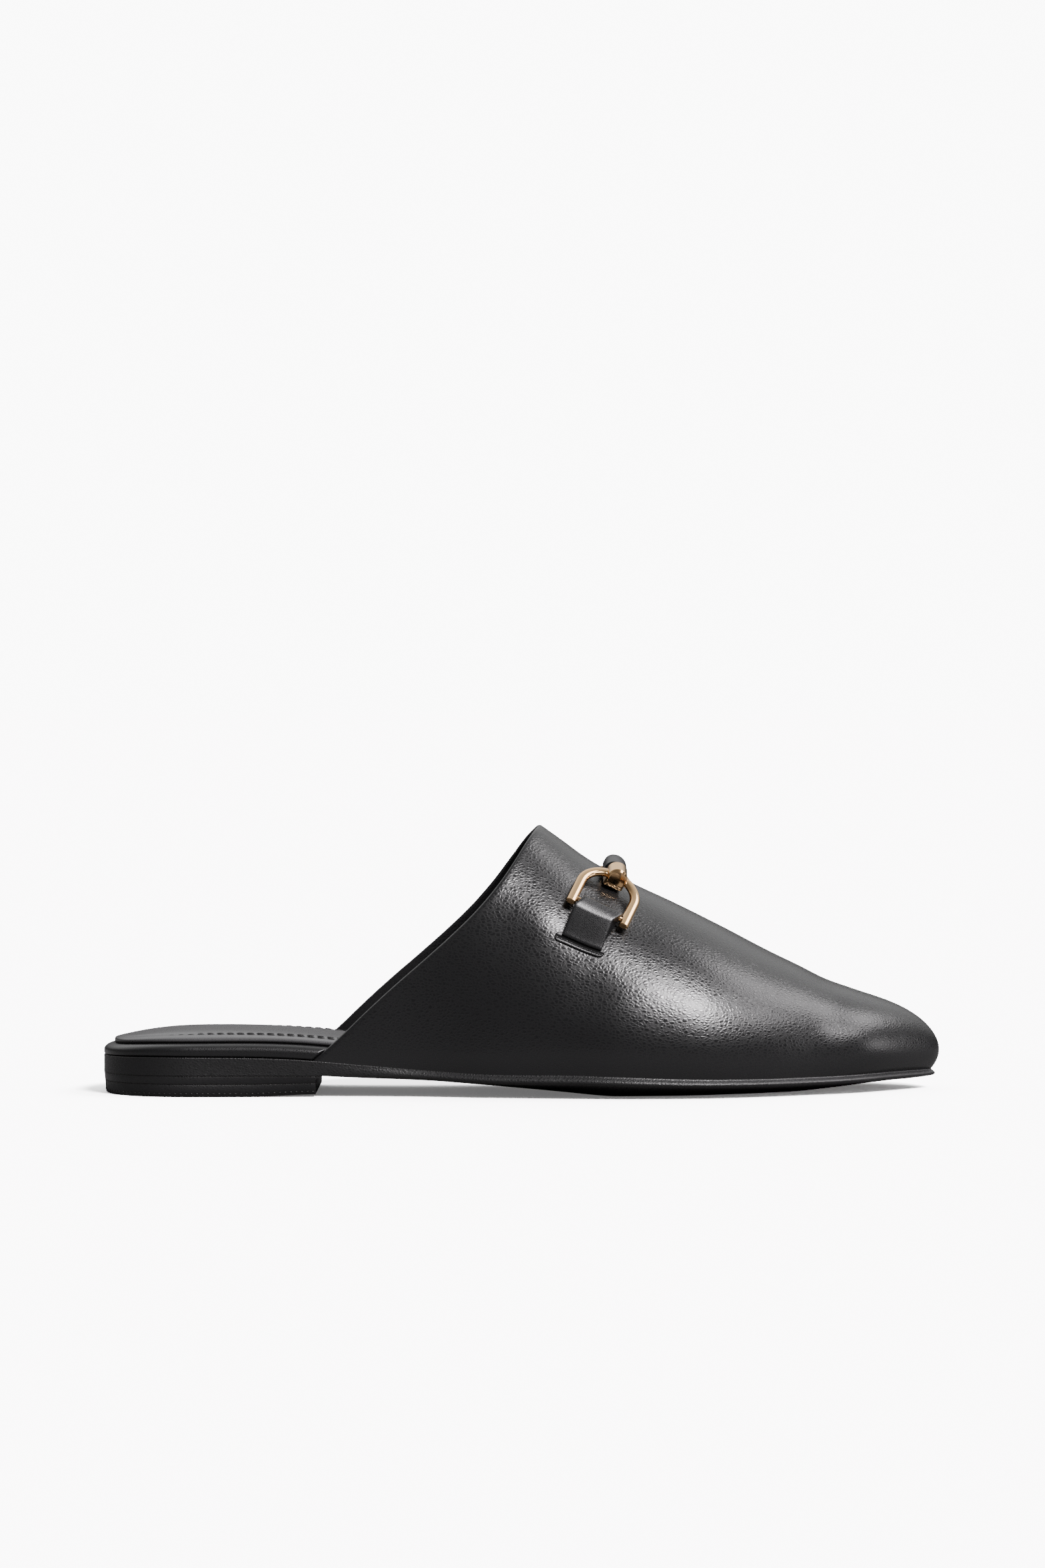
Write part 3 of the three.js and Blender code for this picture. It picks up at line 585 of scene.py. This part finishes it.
def sole_profile(at, side):
    """One side of the sole, a row for each place: down its rounded edge and in under it by the bevel."""
    down = np.linspace(0, 1, edge_steps)
    out = smooth_line(rim, "out", down, "down")
    height = feather_height(at) - sole_height(at)
    edge = last_point(at[:, None], side, 0, -sole_edge_proud * edge_proud(at)[:, None] * out)
    edge[..., 2] -= height[:, None] * down
    inward = np.array([0.25, 0.5, 0.75, 1])
    under = last_point(at[:, None], side, 0, sole_bevel * inward)
    middle_height = np.maximum(sole_height(at) * (1 - smooth_line(sole, "belly", at)), 0)
    drop = 1 - (1 - inward) ** belly_power
    under[..., 2] = sole_height(at)[:, None] + (middle_height - sole_height(at))[:, None] * drop
    return np.concatenate([edge, under], 1)


sole_at = along_last(sole_rows)
outer_profile = sole_profile(sole_at, -1.0)
inner_profile = sole_profile(sole_at, 1.0)[:, ::-1]
sole_piece = sheet_mesh("outsole_edge", np.concatenate([outer_profile, inner_profile], 1), closed=True)
sole_paint = leather("sole_black", jet_black, roughness=0.36, grain=0.0006, depth=0.00004)
sole_piece.data.materials.append(sole_paint)
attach(sole_piece, "root")
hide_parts("outsole")


# Heel and top lift
# One lift of the sole's own stuff, and a rubber top lift on the floor. Their sides are ground flush, in one
# taper, and they are trimmed straight across at the breast, the heel's front.

lift_thickness = 0.0039
heel_spring = 0.0008
heel_spring_start = 0.045
heel_taper = 0.0006
breast_taper = 0.0012
lift_chamfer = 0.0004
piece_gap = 0.0003
joint_line = 0.00005
worn_edge = 0.00012
square_turn = 50


def heel_ring(height, extra):
    """The heel's outline at a height, drawn in by extra, from one breast corner round to the other."""
    lower = 1 - height / seat_underside
    inset = heel_taper * lower + extra
    end = (heel_breast - inset) / (last_length - 2 * inset)
    at = end * (1 - np.cos(np.linspace(0, math.pi / 2, 60)))
    rings = []
    for side in (-1.0, 1.0):
        near_breast = ease(at * last_length, heel_round, heel_breast)
        drawn_in = lower * (heel_taper + breast_taper * near_breast) + extra
        points = last_point(at, side, 0, drawn_in)
        points[:, 0] *= heel_breast / points[-1, 0]
        points[:, 2] = height + heel_spring * ease(points[:, 0], heel_spring_start, heel_breast) * lower
        rings.append(points)
    return np.concatenate([rings[0][::-1], rings[1][1:]])


def capped_tube(name, rings, crisp=None):
    """A tube through rings of points, with a flat face at each end."""
    rows, count = rings.shape[:2]
    index = np.arange(rows * count).reshape(rows, count)
    wrapped = np.hstack([index, index[:, :1]])
    quads = np.stack([wrapped[:-1, :-1], wrapped[:-1, 1:], wrapped[1:, 1:], wrapped[1:, :-1]], -1)
    faces = [*quads.reshape(-1, 4).tolist(), index[0][::-1].tolist(), index[-1].tolist()]
    return mesh_object(name, rings.reshape(-1, 3), faces, crisp)


def softened(piece, width, turn):
    """A piece whose edges that turn by more than some degrees are rounded by a narrow bevel."""
    bevel = piece.modifiers.new("soft_edge", "BEVEL")
    bevel.width = width
    bevel.segments = 2
    bevel.limit_method = "ANGLE"
    bevel.angle_limit = math.radians(turn)
    return piece


def heel_piece(name, heights):
    """A stack of outlines, smooth round its side, with a flat face above and below."""
    piece = capped_tube(name, np.array([heel_ring(height, extra) for height, extra in heights]))
    for face in piece.data.polygons:
        face.use_smooth = len(face.vertices) == 4
    return softened(piece, worn_edge, square_turn)


heel_paint = leather("heel_black", soot_black, roughness=0.34, grain=0.0006, depth=0.00003)
heel_lift = heel_piece("heel_lift", [(lift_thickness + joint_line, 0), (seat_underside - joint_line, 0)])
heel_lift.data.materials.append(heel_paint)
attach(heel_lift, "root")
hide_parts("heel")

lift_paint = leather("top_lift_rubber", jet_black, roughness=0.4, grain=0.0005, depth=0.00004)
top_lift = heel_piece("heel_top_lift", [(0, lift_chamfer), (lift_chamfer, 0), (lift_thickness, 0)])
top_lift.data.materials.append(lift_paint)
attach(top_lift, "root")
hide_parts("top_lift")


# Footbed
# An insole board and a thin foam pad, wrapped in the upper's leather. The wrap comes up round the edge from
# the sole and is tucked in where the upper's collar goes down past it.

pad_height = 0.004
pad_crown = 0.0018
sock_inset = 0.0033
crown_power = 4.6
shoulder_share = 0.98
shoulder_start = 0.42
foot_tuck = 0.06
tuck_from, tuck_to = -0.0006, 0.0004
pad_rows, tuck_rows = 170, 60
pad = {
    "at": [0, 0.06, 0.25, 0.38, 0.55, 0.75, 1],
    "pad": [0.9, 1, 1.12, 1, 0.75, 0.68, 0.62],
    "crown": [0.5, 1, 0.8, 0.4, 0.1, 0, 0],
}


def pad_top(at, share):
    """The footbed's top: its edge height and a crown that is flat in the middle and falls near the edge."""
    edge = feather_height(at) + pad_height * smooth_line(pad, "pad", at)
    ends = heel_close(at) * tip_close(at, toe_round, toe_fullness)
    crown = pad_crown * smooth_line(pad, "crown", at) * ends
    return edge + crown * (1 - share ** crown_power)


def crowned(at, side, share, lift):
    """Points of the crowned top from the sock's edge, share 1, to the middle of the foot, share 0."""
    edge = last_point(at, side, 0, sock_inset)
    middle = (edge + last_point(at, -side, 0, sock_inset)) / 2
    point = middle + (edge - middle) * share[..., None]
    point[..., 2] = pad_top(at, share) + lift
    return point


def pad_profile(at, side):
    """One side of the footbed: up its wall, round the shoulder and over the crowned top.

    Ahead of the collar it is drawn in by the upper's wall.
    """
    turn = np.linspace(0, math.pi / 2, 9)
    foot = feather_height(at) + piece_gap
    top = pad_top(at, 1.0)
    wall_share = np.concatenate([[0, 0.15, 0.3], shoulder_start + (1 - shoulder_start) * np.sin(turn)])
    inward = np.concatenate([[foot_tuck, 0.0, 0.0], shoulder_share * (1 - np.cos(turn))])
    height = foot[:, None] + (top - foot)[:, None] * wall_share
    ahead = past_collar(at[:, None] * last_length, last_edge(at, side, 0)[:, None], height)
    tucked = ease(ahead, tuck_from, tuck_to)
    inset = np.maximum(sock_inset * inward, (upper_wall + piece_gap) * tucked)
    wall_points = last_point(at[:, None], side, 0, inset)
    wall_points[..., 2] = height
    share = np.linspace(1, 0, 22)[1:]
    return np.concatenate([wall_points, crowned(at[:, None], side, share[None, :], 0.0)], 1)


pad_at = np.unique(np.concatenate([along_last(pad_rows), np.linspace(0.22, 0.29, tuck_rows)]))
pad_grid = np.concatenate([pad_profile(pad_at, -1.0), pad_profile(pad_at, 1.0)[:, -2::-1]], 1)
footbed = sheet_mesh("footbed_wrap", pad_grid, closed=True)
wrap_paint = leather("wrap_black", soot_black, roughness=0.24, grain=0.00044, depth=0.000012, coat=0.03)
footbed.data.materials.append(wrap_paint)
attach(footbed, "root")
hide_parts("footbed")


# Sock
# A smooth leather cover laid on the footbed, short of its edge, with two rows of black stitches through it.
# Near its edge it dips in a shallow channel.

sock_thickness = 0.0012
sock_crowding = 1.4
sock_rows = 240
channel_place, channel_reach, channel_depth = 0.0046, 0.0011, 0.00025
edge_fall, edge_fall_reach = 0.0003, 0.0004
stitch_ends = 0.6
stitch_sink = 0.00012


def sock_profile(at, side):
    """One side of the sock: its cut edge, a soft round and the top, dipped along the stitch rows."""
    share = 1 - np.linspace(0, 1, 60) ** sock_crowding
    top = crowned(at[:, None], side, share[None, :], piece_gap + sock_thickness)
    reach = np.linalg.norm(top - top[:, :1], axis=-1)
    dip = np.exp(-((reach - channel_place) / channel_reach) ** 2)
    top[..., 2] -= channel_depth * dip + edge_fall * np.exp(-reach / edge_fall_reach)
    low = crowned(at[:, None], side, np.array([[0.985, 1.0]]), piece_gap)
    return np.concatenate([low, top], 1)


sock_at = along_last(sock_rows)
sock_grid = np.concatenate([sock_profile(sock_at, -1.0), sock_profile(sock_at, 1.0)[:, -2::-1]], 1)
sock = sheet_mesh("sock_cover", sock_grid, closed=True)
# The sock's colour is lighter than its black leather: a painted sheen for the room's grazing reflection on
# its top.
sock_paint = leather("sock_black", painted_sheen_grey, roughness=0.25, grain=0.0005, depth=0.000006, coat=0.05)
sock.data.materials.append(sock_paint)
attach(sock, "root")
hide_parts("sock")


def stitch_row(name, path, up, pitch, length, width, height):
    """Stitches along a path: each a short thread with narrow ends, lying at even steps of the path.

    The directions up, a row for each place of the path, say which way a stitch's height goes.
    """
    step = np.linalg.norm(np.diff(path, axis=0), axis=1)
    run = np.concatenate([[0], np.cumsum(step)])
    places = np.arange(pitch / 2, run[-1] - length / 2, pitch)
    across_count, along_count = 6, 5
    along_share = np.linspace(-1, 1, along_count)
    angle = np.linspace(0, 2 * math.pi, across_count, endpoint=False)
    spots = places[:, None] + along_share * length / 2
    centre = np.stack([np.interp(spots, run, path[:, k]) for k in range(3)], -1)
    lift = np.stack([np.interp(spots, run, up[:, k]) for k in range(3)], -1)
    ahead = np.gradient(centre, axis=1)
    ahead /= np.linalg.norm(ahead, axis=-1, keepdims=True)
    aside = np.cross(ahead, lift)
    fat = np.sqrt(np.clip(1 - along_share ** 4, 0.06, 1))[None, :, None, None]
    round_part = (aside[:, :, None] * np.cos(angle)[:, None] * width / 2
                  + lift[:, :, None] * np.sin(angle)[:, None] * height / 2)
    grid = centre[:, :, None] + round_part * fat
    stitches = len(places)
    index = np.arange(stitches * along_count * across_count).reshape(stitches, along_count, across_count)
    wrapped = np.concatenate([index, index[:, :, :1]], 2)
    quads = np.stack([wrapped[:, :-1, :-1], wrapped[:, 1:, :-1], wrapped[:, 1:, 1:], wrapped[:, :-1, 1:]], -1)
    ends = [*index[:, 0].tolist(), *index[:, -1, ::-1].tolist()]
    return mesh_object(name, grid.reshape(-1, 3), [*quads.reshape(-1, 4).tolist(), *ends])


thread_paint = leather("black_thread", soot_black, roughness=0.5, grain=0.0004, depth=0.00006)


def sock_stitch_path(inset):
    """The row's path on the sock: in from the footbed's edge by inset, from the outer ball round the heel."""
    at = stitch_ends * (1 - np.cos(np.linspace(0, math.pi / 2, 200)))
    sides = [last_point(at, side, 0, inset) for side in (-1.0, 1.0)]
    half = (last_point(at, 1.0, 0, sock_inset) - last_point(at, -1.0, 0, sock_inset))[:, 1] / 2
    share = np.clip(1 - (inset - sock_inset) / np.maximum(half, 1e-4), 0, 1)
    for points in sides:
        points[:, 2] = pad_top(at, share) + piece_gap + sock_thickness - stitch_sink
    return np.concatenate([sides[0][::-1], sides[1][1:]])


for label, inset in (("outer", 0.0071), ("inner", 0.0086)):
    path = sock_stitch_path(inset)
    up = np.tile([0.0, 0.0, 1.0], (len(path), 1))
    row = stitch_row(f"sock_stitches_{label}", path, up,
                     pitch=0.0031, length=0.0023, width=0.0006, height=0.00045)
    row.data.materials.append(thread_paint)
    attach(row, "root")


# The nails that hold the top lift show as a row of small ticks round its side, made with the same function.
tick_height, tick_out_by = 0.0011, 0.00005
tick_path = heel_ring(tick_height, -tick_out_by)
tick_out = np.cross(np.gradient(tick_path, axis=0), [0.0, 0.0, 1.0])
tick_out /= np.linalg.norm(tick_out, axis=-1, keepdims=True)
ticks = stitch_row("lift_nail_marks", tick_path, tick_out,
                   pitch=0.0017, length=0.0008, width=0.0004, height=0.0002)
ticks.data.materials.append(lift_paint)
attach(ticks, "root")


# Bit
# A snaffle ornament in polished pale gold plate: a leather-covered bar over the instep, a cap on each of its
# ends, and in each cap a horseshoe ring whose pin is held in a folded leather tab.

bit_place = 0.1584
bar_width = 0.0072
bar_height = 0.005
bar_sag = 0.003
bar_lift = 0.0007
bar_foot_round = 0.0008
dome_share = 0.6
cap_width = 0.0064
cap_height = 0.0068
cap_depth = 0.0064
cap_forward = 0.0012
cap_bevel = 0.0006
cap_foot_bevel = 0.0016
cap_foot_round = 0.0006
cap_reach = 0.0138
cap_crisp = 22
cap_edge = 0.00015
cap_turn = 25
ring_radius = 0.0089
ring_wire = 0.0032
ring_band = 0.002
ring_fullness = 2.3
ring_chamfer = 0.0003
ring_end_share = 0.78
ring_crisp = 30
ring_length = 0.021
ring_drop = 0.0009
pin_wire = 0.0016
pin_end = 0.0025
tab_width = 0.013
tab_shift = 0.0006
tab_turn = 0.001
tab_leather = 0.001
tab_reach = 0.042
seat_rest = 0.0015
tab_rest = 0.0007
tab_taper = 1.25
tab_pinch = 0.3
tab_edge = 0.0003
tab_steps = 14

bit_share = bit_place / last_length
ridge_point = last_point(bit_share, 1.0, 2.0)
bit_across = last_point(bit_share + slope_reach, 1.0, 2.0) - last_point(bit_share - slope_reach, 1.0, 2.0)
bit_across[1] = 0
bit_across /= np.linalg.norm(bit_across)
bit_up = np.array([-bit_across[2], 0, bit_across[0]])


def unit(vector):
    """The same direction, one long."""
    return vector / np.linalg.norm(vector, axis=-1, keepdims=True)


def saddle_point(side, level, offset=0.0):
    """The upper's surface at a level, in the plane that lies an offset ahead of the bit's own."""
    level, offset = np.broadcast_arrays(np.asarray(level, float), np.asarray(offset, float))

    def past(share):
        return (last_point(share, side, level) - ridge_point) @ bit_across > offset
    return last_point(halved(past, level.shape, 0.2, 1.0), side, level)


def level_at(side, distance):
    """The level on one side at a distance down the surface from the ridge, along the bit's plane."""
    levels = np.arange(2, 1, -0.02)
    points = saddle_point(side, levels)
    run = np.concatenate([[0], np.cumsum(np.linalg.norm(np.diff(points, axis=0), axis=1))])
    return np.interp(distance, run, levels)


def saddle_across(side, level, offset, reach):
    """The direction along the upper from one plane to another, a reach to either side."""
    return unit(saddle_point(side, level, offset + reach) - saddle_point(side, level, offset - reach))


def saddle_normal(side, level, offset):
    """The outward direction of the upper: square to its two directions across and down."""
    down = saddle_point(side, level - 0.03, offset) - saddle_point(side, level + 0.03, offset)
    return unit(-side * np.cross(down, saddle_across(side, level, offset, 0.001)))


def bar_centre(y):
    """The bar's middle line: straight across the ridge and sagging as a parabola."""
    y = np.asarray(y, float)
    centre = ridge_point + y[..., None] * np.array([0, 1, 0]) + bit_up * (bar_lift + bar_height / 2)
    centre[..., 2] -= bar_sag * (y / cap_reach) ** 2
    return centre


def bar_direction(y):
    """The bar's own direction, towards the inner side."""
    return unit(bar_centre(y + piece_gap) - bar_centre(y - piece_gap))


def dome_points(width, height, foot_round):
    """A flat foot with rounded corners and a rounded back, as places across and up."""
    turn = np.linspace(0, math.pi, 24)
    rise = min(width / 2, height * dome_share)
    dome = np.stack([np.cos(turn) * width / 2, height / 2 - rise + np.sin(turn) * rise], -1)
    corner = np.linspace(0, math.pi / 2, 5)
    left = np.stack([-width / 2 + foot_round * (1 - np.cos(corner)),
                     -height / 2 + foot_round * (1 - np.sin(corner))], -1)
    right = left[::-1] * np.array([-1, 1])
    return np.concatenate([dome, left, right])


bar_half = cap_reach + cap_forward - cap_depth / 2 - 2 * piece_gap
bar_y = np.linspace(-bar_half, bar_half, 40)
bar_turn = bar_direction(bar_y)
bar_lift_way = unit(np.cross(np.broadcast_to(bit_across, bar_turn.shape), bar_turn))
bar_section = dome_points(bar_width, bar_height, bar_foot_round)
bar_rings = (bar_centre(bar_y)[:, None] + bar_section[None, :, :1] * bit_across
             + bar_section[None, :, 1:] * bar_lift_way[:, None])
bar = capped_tube("bit_bar_cover", bar_rings)
bar_paint = leather("bar_black", jet_black, roughness=0.26, grain=0.00036, depth=0.000013, coat=0.03)
bar.data.materials.append(bar_paint)
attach(bar, "root")
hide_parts("bit_bar")


gold_colour = (0.83, 0.53, 0.27)
gold_gloss, gold_haze = 0.05, 0.1
haze_scale = 400


def polished_gold(name):
    """Plated brass: a pale warm metal whose polish is the faintest bit uneven."""
    paint = bpy.data.materials.new(name)
    paint.use_nodes = True
    tree = paint.node_tree
    shader = tree.nodes["Principled BSDF"]
    shader.inputs["Base Color"].default_value = (*gold_colour, 1)
    shader.inputs["Metallic"].default_value = 1
    place = tree.nodes.new("ShaderNodeTexCoord").outputs["Object"]
    gloss = graded(tree, noise(tree, place, haze_scale, 2).outputs["Fac"], 0, 1, gold_gloss, gold_haze)
    tree.links.new(gloss, shader.inputs["Roughness"])
    return paint


gold_paint = polished_gold("pale_gold")
fold_radius = pin_wire / 2 + piece_gap + tab_leather
pin_place = ring_length - pin_end


def ring_frame(side):
    """The ring's own place: it hangs from the cap's centre and leans on the pin's seat, along the upper."""
    centre = bar_centre(side * cap_reach)
    seat_level = level_at(side, cap_reach + pin_place)
    seat = saddle_point(side, seat_level) + saddle_normal(side, seat_level, 0.0) * (fold_radius + seat_rest)
    across = saddle_across(side, seat_level, 0.0, ring_radius)
    down = seat - centre
    down = unit(down - across * (down @ across))
    normal = unit(-side * np.cross(down, across))
    return centre, across, down, normal


def crowned_band(width, height, fullness, count):
    """A superellipse, as places across and up: fuller than an ellipse and without a flat."""
    angle = np.linspace(0, 2 * math.pi, count, endpoint=False)
    across, up = np.cos(angle), np.sin(angle)
    power = 2 / fullness
    return np.stack([np.sign(across) * np.abs(across) ** power * width / 2,
                     np.sign(up) * np.abs(up) ** power * height / 2], -1)


def horseshoe(place, end):
    """The ring's middle line from one end over its arch to the other, and the directions out of the arch."""
    centre, across, down, _ = place
    turn = np.linspace(math.pi, 0, 60)
    ahead = ring_radius * np.concatenate([[-1, -1], np.cos(turn), [1, 1]])
    top = ring_drop + ring_radius
    leg = np.array([end, (end + top) / 2])
    below = np.concatenate([leg, ring_drop + ring_radius * (1 - np.sin(turn)), leg[::-1]])
    rise = np.concatenate([[0, 0], np.sin(turn), [0, 0]])
    path = centre + ahead[:, None] * across + below[:, None] * down
    return path, ahead[:, None] / ring_radius * across - rise[:, None] * down


def gold_ring(name, place):
    """A round-cornered band bent to a horseshoe, with its two ends chamfered."""
    path, out = horseshoe(place, ring_length)
    section = crowned_band(ring_wire, ring_band, ring_fullness, 32)
    first, last = unit(path[1:2] - path[:1]), unit(path[-2:-1] - path[-1:])
    path = np.concatenate([path[:1], path[:1] + first * ring_chamfer, path[1:-1],
                           path[-1:] + last * ring_chamfer, path[-1:]])
    out = np.concatenate([out[:1], out[:1], out[1:-1], out[-1:], out[-1:]])
    size = np.ones(len(path))
    size[[0, -1]] = ring_end_share
    rings = (path[:, None] + section[None, :, :1] * out[:, None] * size[:, None, None]
             + section[None, :, 1:] * place[3] * size[:, None, None])
    return capped_tube(name, rings, crisp=ring_crisp)


def joined(name, parts):
    """Several meshes made one."""
    bpy.ops.object.select_all(action="DESELECT")
    for part in parts:
        part.select_set(True)
    bpy.context.view_layer.objects.active = parts[0]
    bpy.ops.object.join()
    parts[0].name = name
    return parts[0]


def gold_pin(name, place):
    """The straight rod between the ring's two ends."""
    centre, across, down, normal = place
    ends = np.linspace(-ring_radius, ring_radius, 8)
    angle = np.linspace(0, 2 * math.pi, 16, endpoint=False)
    around = np.cos(angle)[:, None] * normal + np.sin(angle)[:, None] * down
    rings = centre + ends[:, None, None] * across + pin_place * down + around * pin_wire / 2
    return capped_tube(name, rings)


def gold_cap(name, side, place):
    """The cap on the bar's end: a domed block, with its front chamfered, most at the foot."""
    along = bar_direction(side * cap_reach) * side
    up = unit(-side * np.cross(along, bit_across))
    across = np.cross(up, along)
    section = dome_points(cap_width, cap_height, cap_foot_round)
    front = section * (1 - 2 * cap_bevel / cap_width)
    front_share = 1 - (cap_bevel + cap_foot_bevel) / cap_height
    front[:, 1] = -cap_height / 2 + cap_foot_bevel + (section[:, 1] + cap_height / 2) * front_share
    back = section * (1 - cap_bevel / cap_width)
    half = cap_depth / 2
    depth = cap_forward + np.array([-half, cap_bevel / 2 - half, half - cap_bevel * 1.4, half])
    outlines = np.array([back, section, section, front])
    rings = place[0] + depth[:, None, None] * along + outlines[..., :1] * across + outlines[..., 1:] * up
    return softened(capped_tube(name, rings, cap_crisp), cap_edge, cap_turn)


def tab_outline(side, place, offset):
    """The tab's section at an offset across it: round the pin, down under the leather and back over it."""
    _, across, down, normal = place
    pin = place[0] + offset * across + pin_place * down
    share = np.linspace(0, 1, tab_steps)
    level = level_at(side, cap_reach + pin_place) * (1 - share) + level_at(side, tab_reach) * share
    point = saddle_point(side, level, offset + tab_turn * share)
    out = saddle_normal(side, level, offset + tab_turn * share)
    rise = seat_rest + 2 * fold_radius - tab_rest - tab_leather
    high = tab_rest + tab_leather + rise * (1 - share) ** tab_taper
    low = seat_rest + (high - tab_leather * (2 - share) - seat_rest) * np.minimum(share / tab_pinch, 1)
    under = point + out * low[:, None]
    over = point + out * high[:, None]
    turn = np.linspace(0, math.pi, tab_steps)[:, None]
    fold = pin + np.cos(turn) * fold_radius * normal - np.sin(turn) * fold_radius * down
    return np.concatenate([fold, under, over[:0:-1]])


def leather_tab(name, side, place):
    """The tab: its section at even steps across, with its cut edges rounded."""
    offsets = tab_shift + np.linspace(-tab_width / 2, tab_width / 2, 16)
    piece = capped_tube(name, np.array([tab_outline(side, place, offset) for offset in offsets]))
    return softened(piece, tab_edge, square_turn)


lip_start = 0.0408
lip_width = 0.0034
lip_length = 0.0162
lip_height = 0.0007
lip_lean = 0.0012
lip_shoulder = 0.22
lip_sink = 0.0003
groove_place, groove_reach, groove_depth = 0.15, 0.2, 0.55
seam_place = 0.6
seam_height = 0.45


def saddle_patch(side, runs, offsets):
    """Points of the upper and their outward directions, at runs down from the ridge and offsets across."""
    level = level_at(side, runs)[:, None] + 0 * offsets[None, :]
    offset = offsets[None, :] + 0 * level
    return saddle_point(side, level, offset), saddle_normal(side, level, offset)


def tab_lip(name, side):
    """The bound slit that the tab goes into: a strip with round ends, raised in two beads with a groove."""
    down = np.linspace(-1, 1, 33)
    along = np.linspace(-1, 1, 73)
    half = lip_width / 2
    end = np.clip((np.abs(along) * lip_length / 2 - (lip_length / 2 - half)) / half, 0, 1)
    reach = np.sqrt(1 - end ** 2)
    runs = lip_start + half + down * half
    points, out = saddle_patch(side, runs, along * lip_length / 2 + lip_lean)
    inside = np.clip((reach[None, :] - np.abs(down[:, None])) / lip_shoulder, 0, 1)
    groove = groove_depth * np.exp(-((down[:, None] - groove_place) / groove_reach) ** 2)
    rise = lip_height * np.sin(inside * math.pi / 2) * (1 - groove) - lip_sink * (inside <= 0)
    return sheet_mesh(name, points + out * rise[..., None])


tab_paint = leather("tab_black", jet_black, roughness=0.24, grain=0.00036, depth=0.000013, coat=0.03)
for label, side in (("outer", -1.0), ("inner", 1.0)):
    place = ring_frame(side)
    cap = gold_cap(f"gold_cap_{label}", side, place)
    ring = joined(f"gold_ring_{label}", [gold_ring(f"ring_{label}", place), gold_pin(f"pin_{label}", place)])
    tab = leather_tab(f"leather_tab_{label}", side, place)
    lip = tab_lip(f"tab_lip_{label}", side)
    lip.data.materials.append(tab_paint)
    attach(lip, "root")
    seam_run = np.array([lip_start + lip_width * seam_place])
    seam, seam_up = saddle_patch(side, seam_run, np.linspace(-0.45, 0.45, 60) * lip_length + lip_lean)
    thread = stitch_row(f"lip_stitches_{label}", seam[0] + seam_up[0] * lip_height * seam_height, seam_up[0],
                        pitch=0.0017, length=0.0012, width=0.0004, height=0.0003)
    thread.data.materials.append(thread_paint)
    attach(thread, "root")
    for piece, node, paint, slot in ((cap, "bit_cap", gold_paint, "pale_gold"),
                                     (ring, "bit_ring", gold_paint, "pale_gold"),
                                     (tab, "bit_tab", tab_paint, "upper_leather")):
        piece.data.materials.append(paint)
        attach(piece, "root")
        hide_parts(f"{node}_{label}")
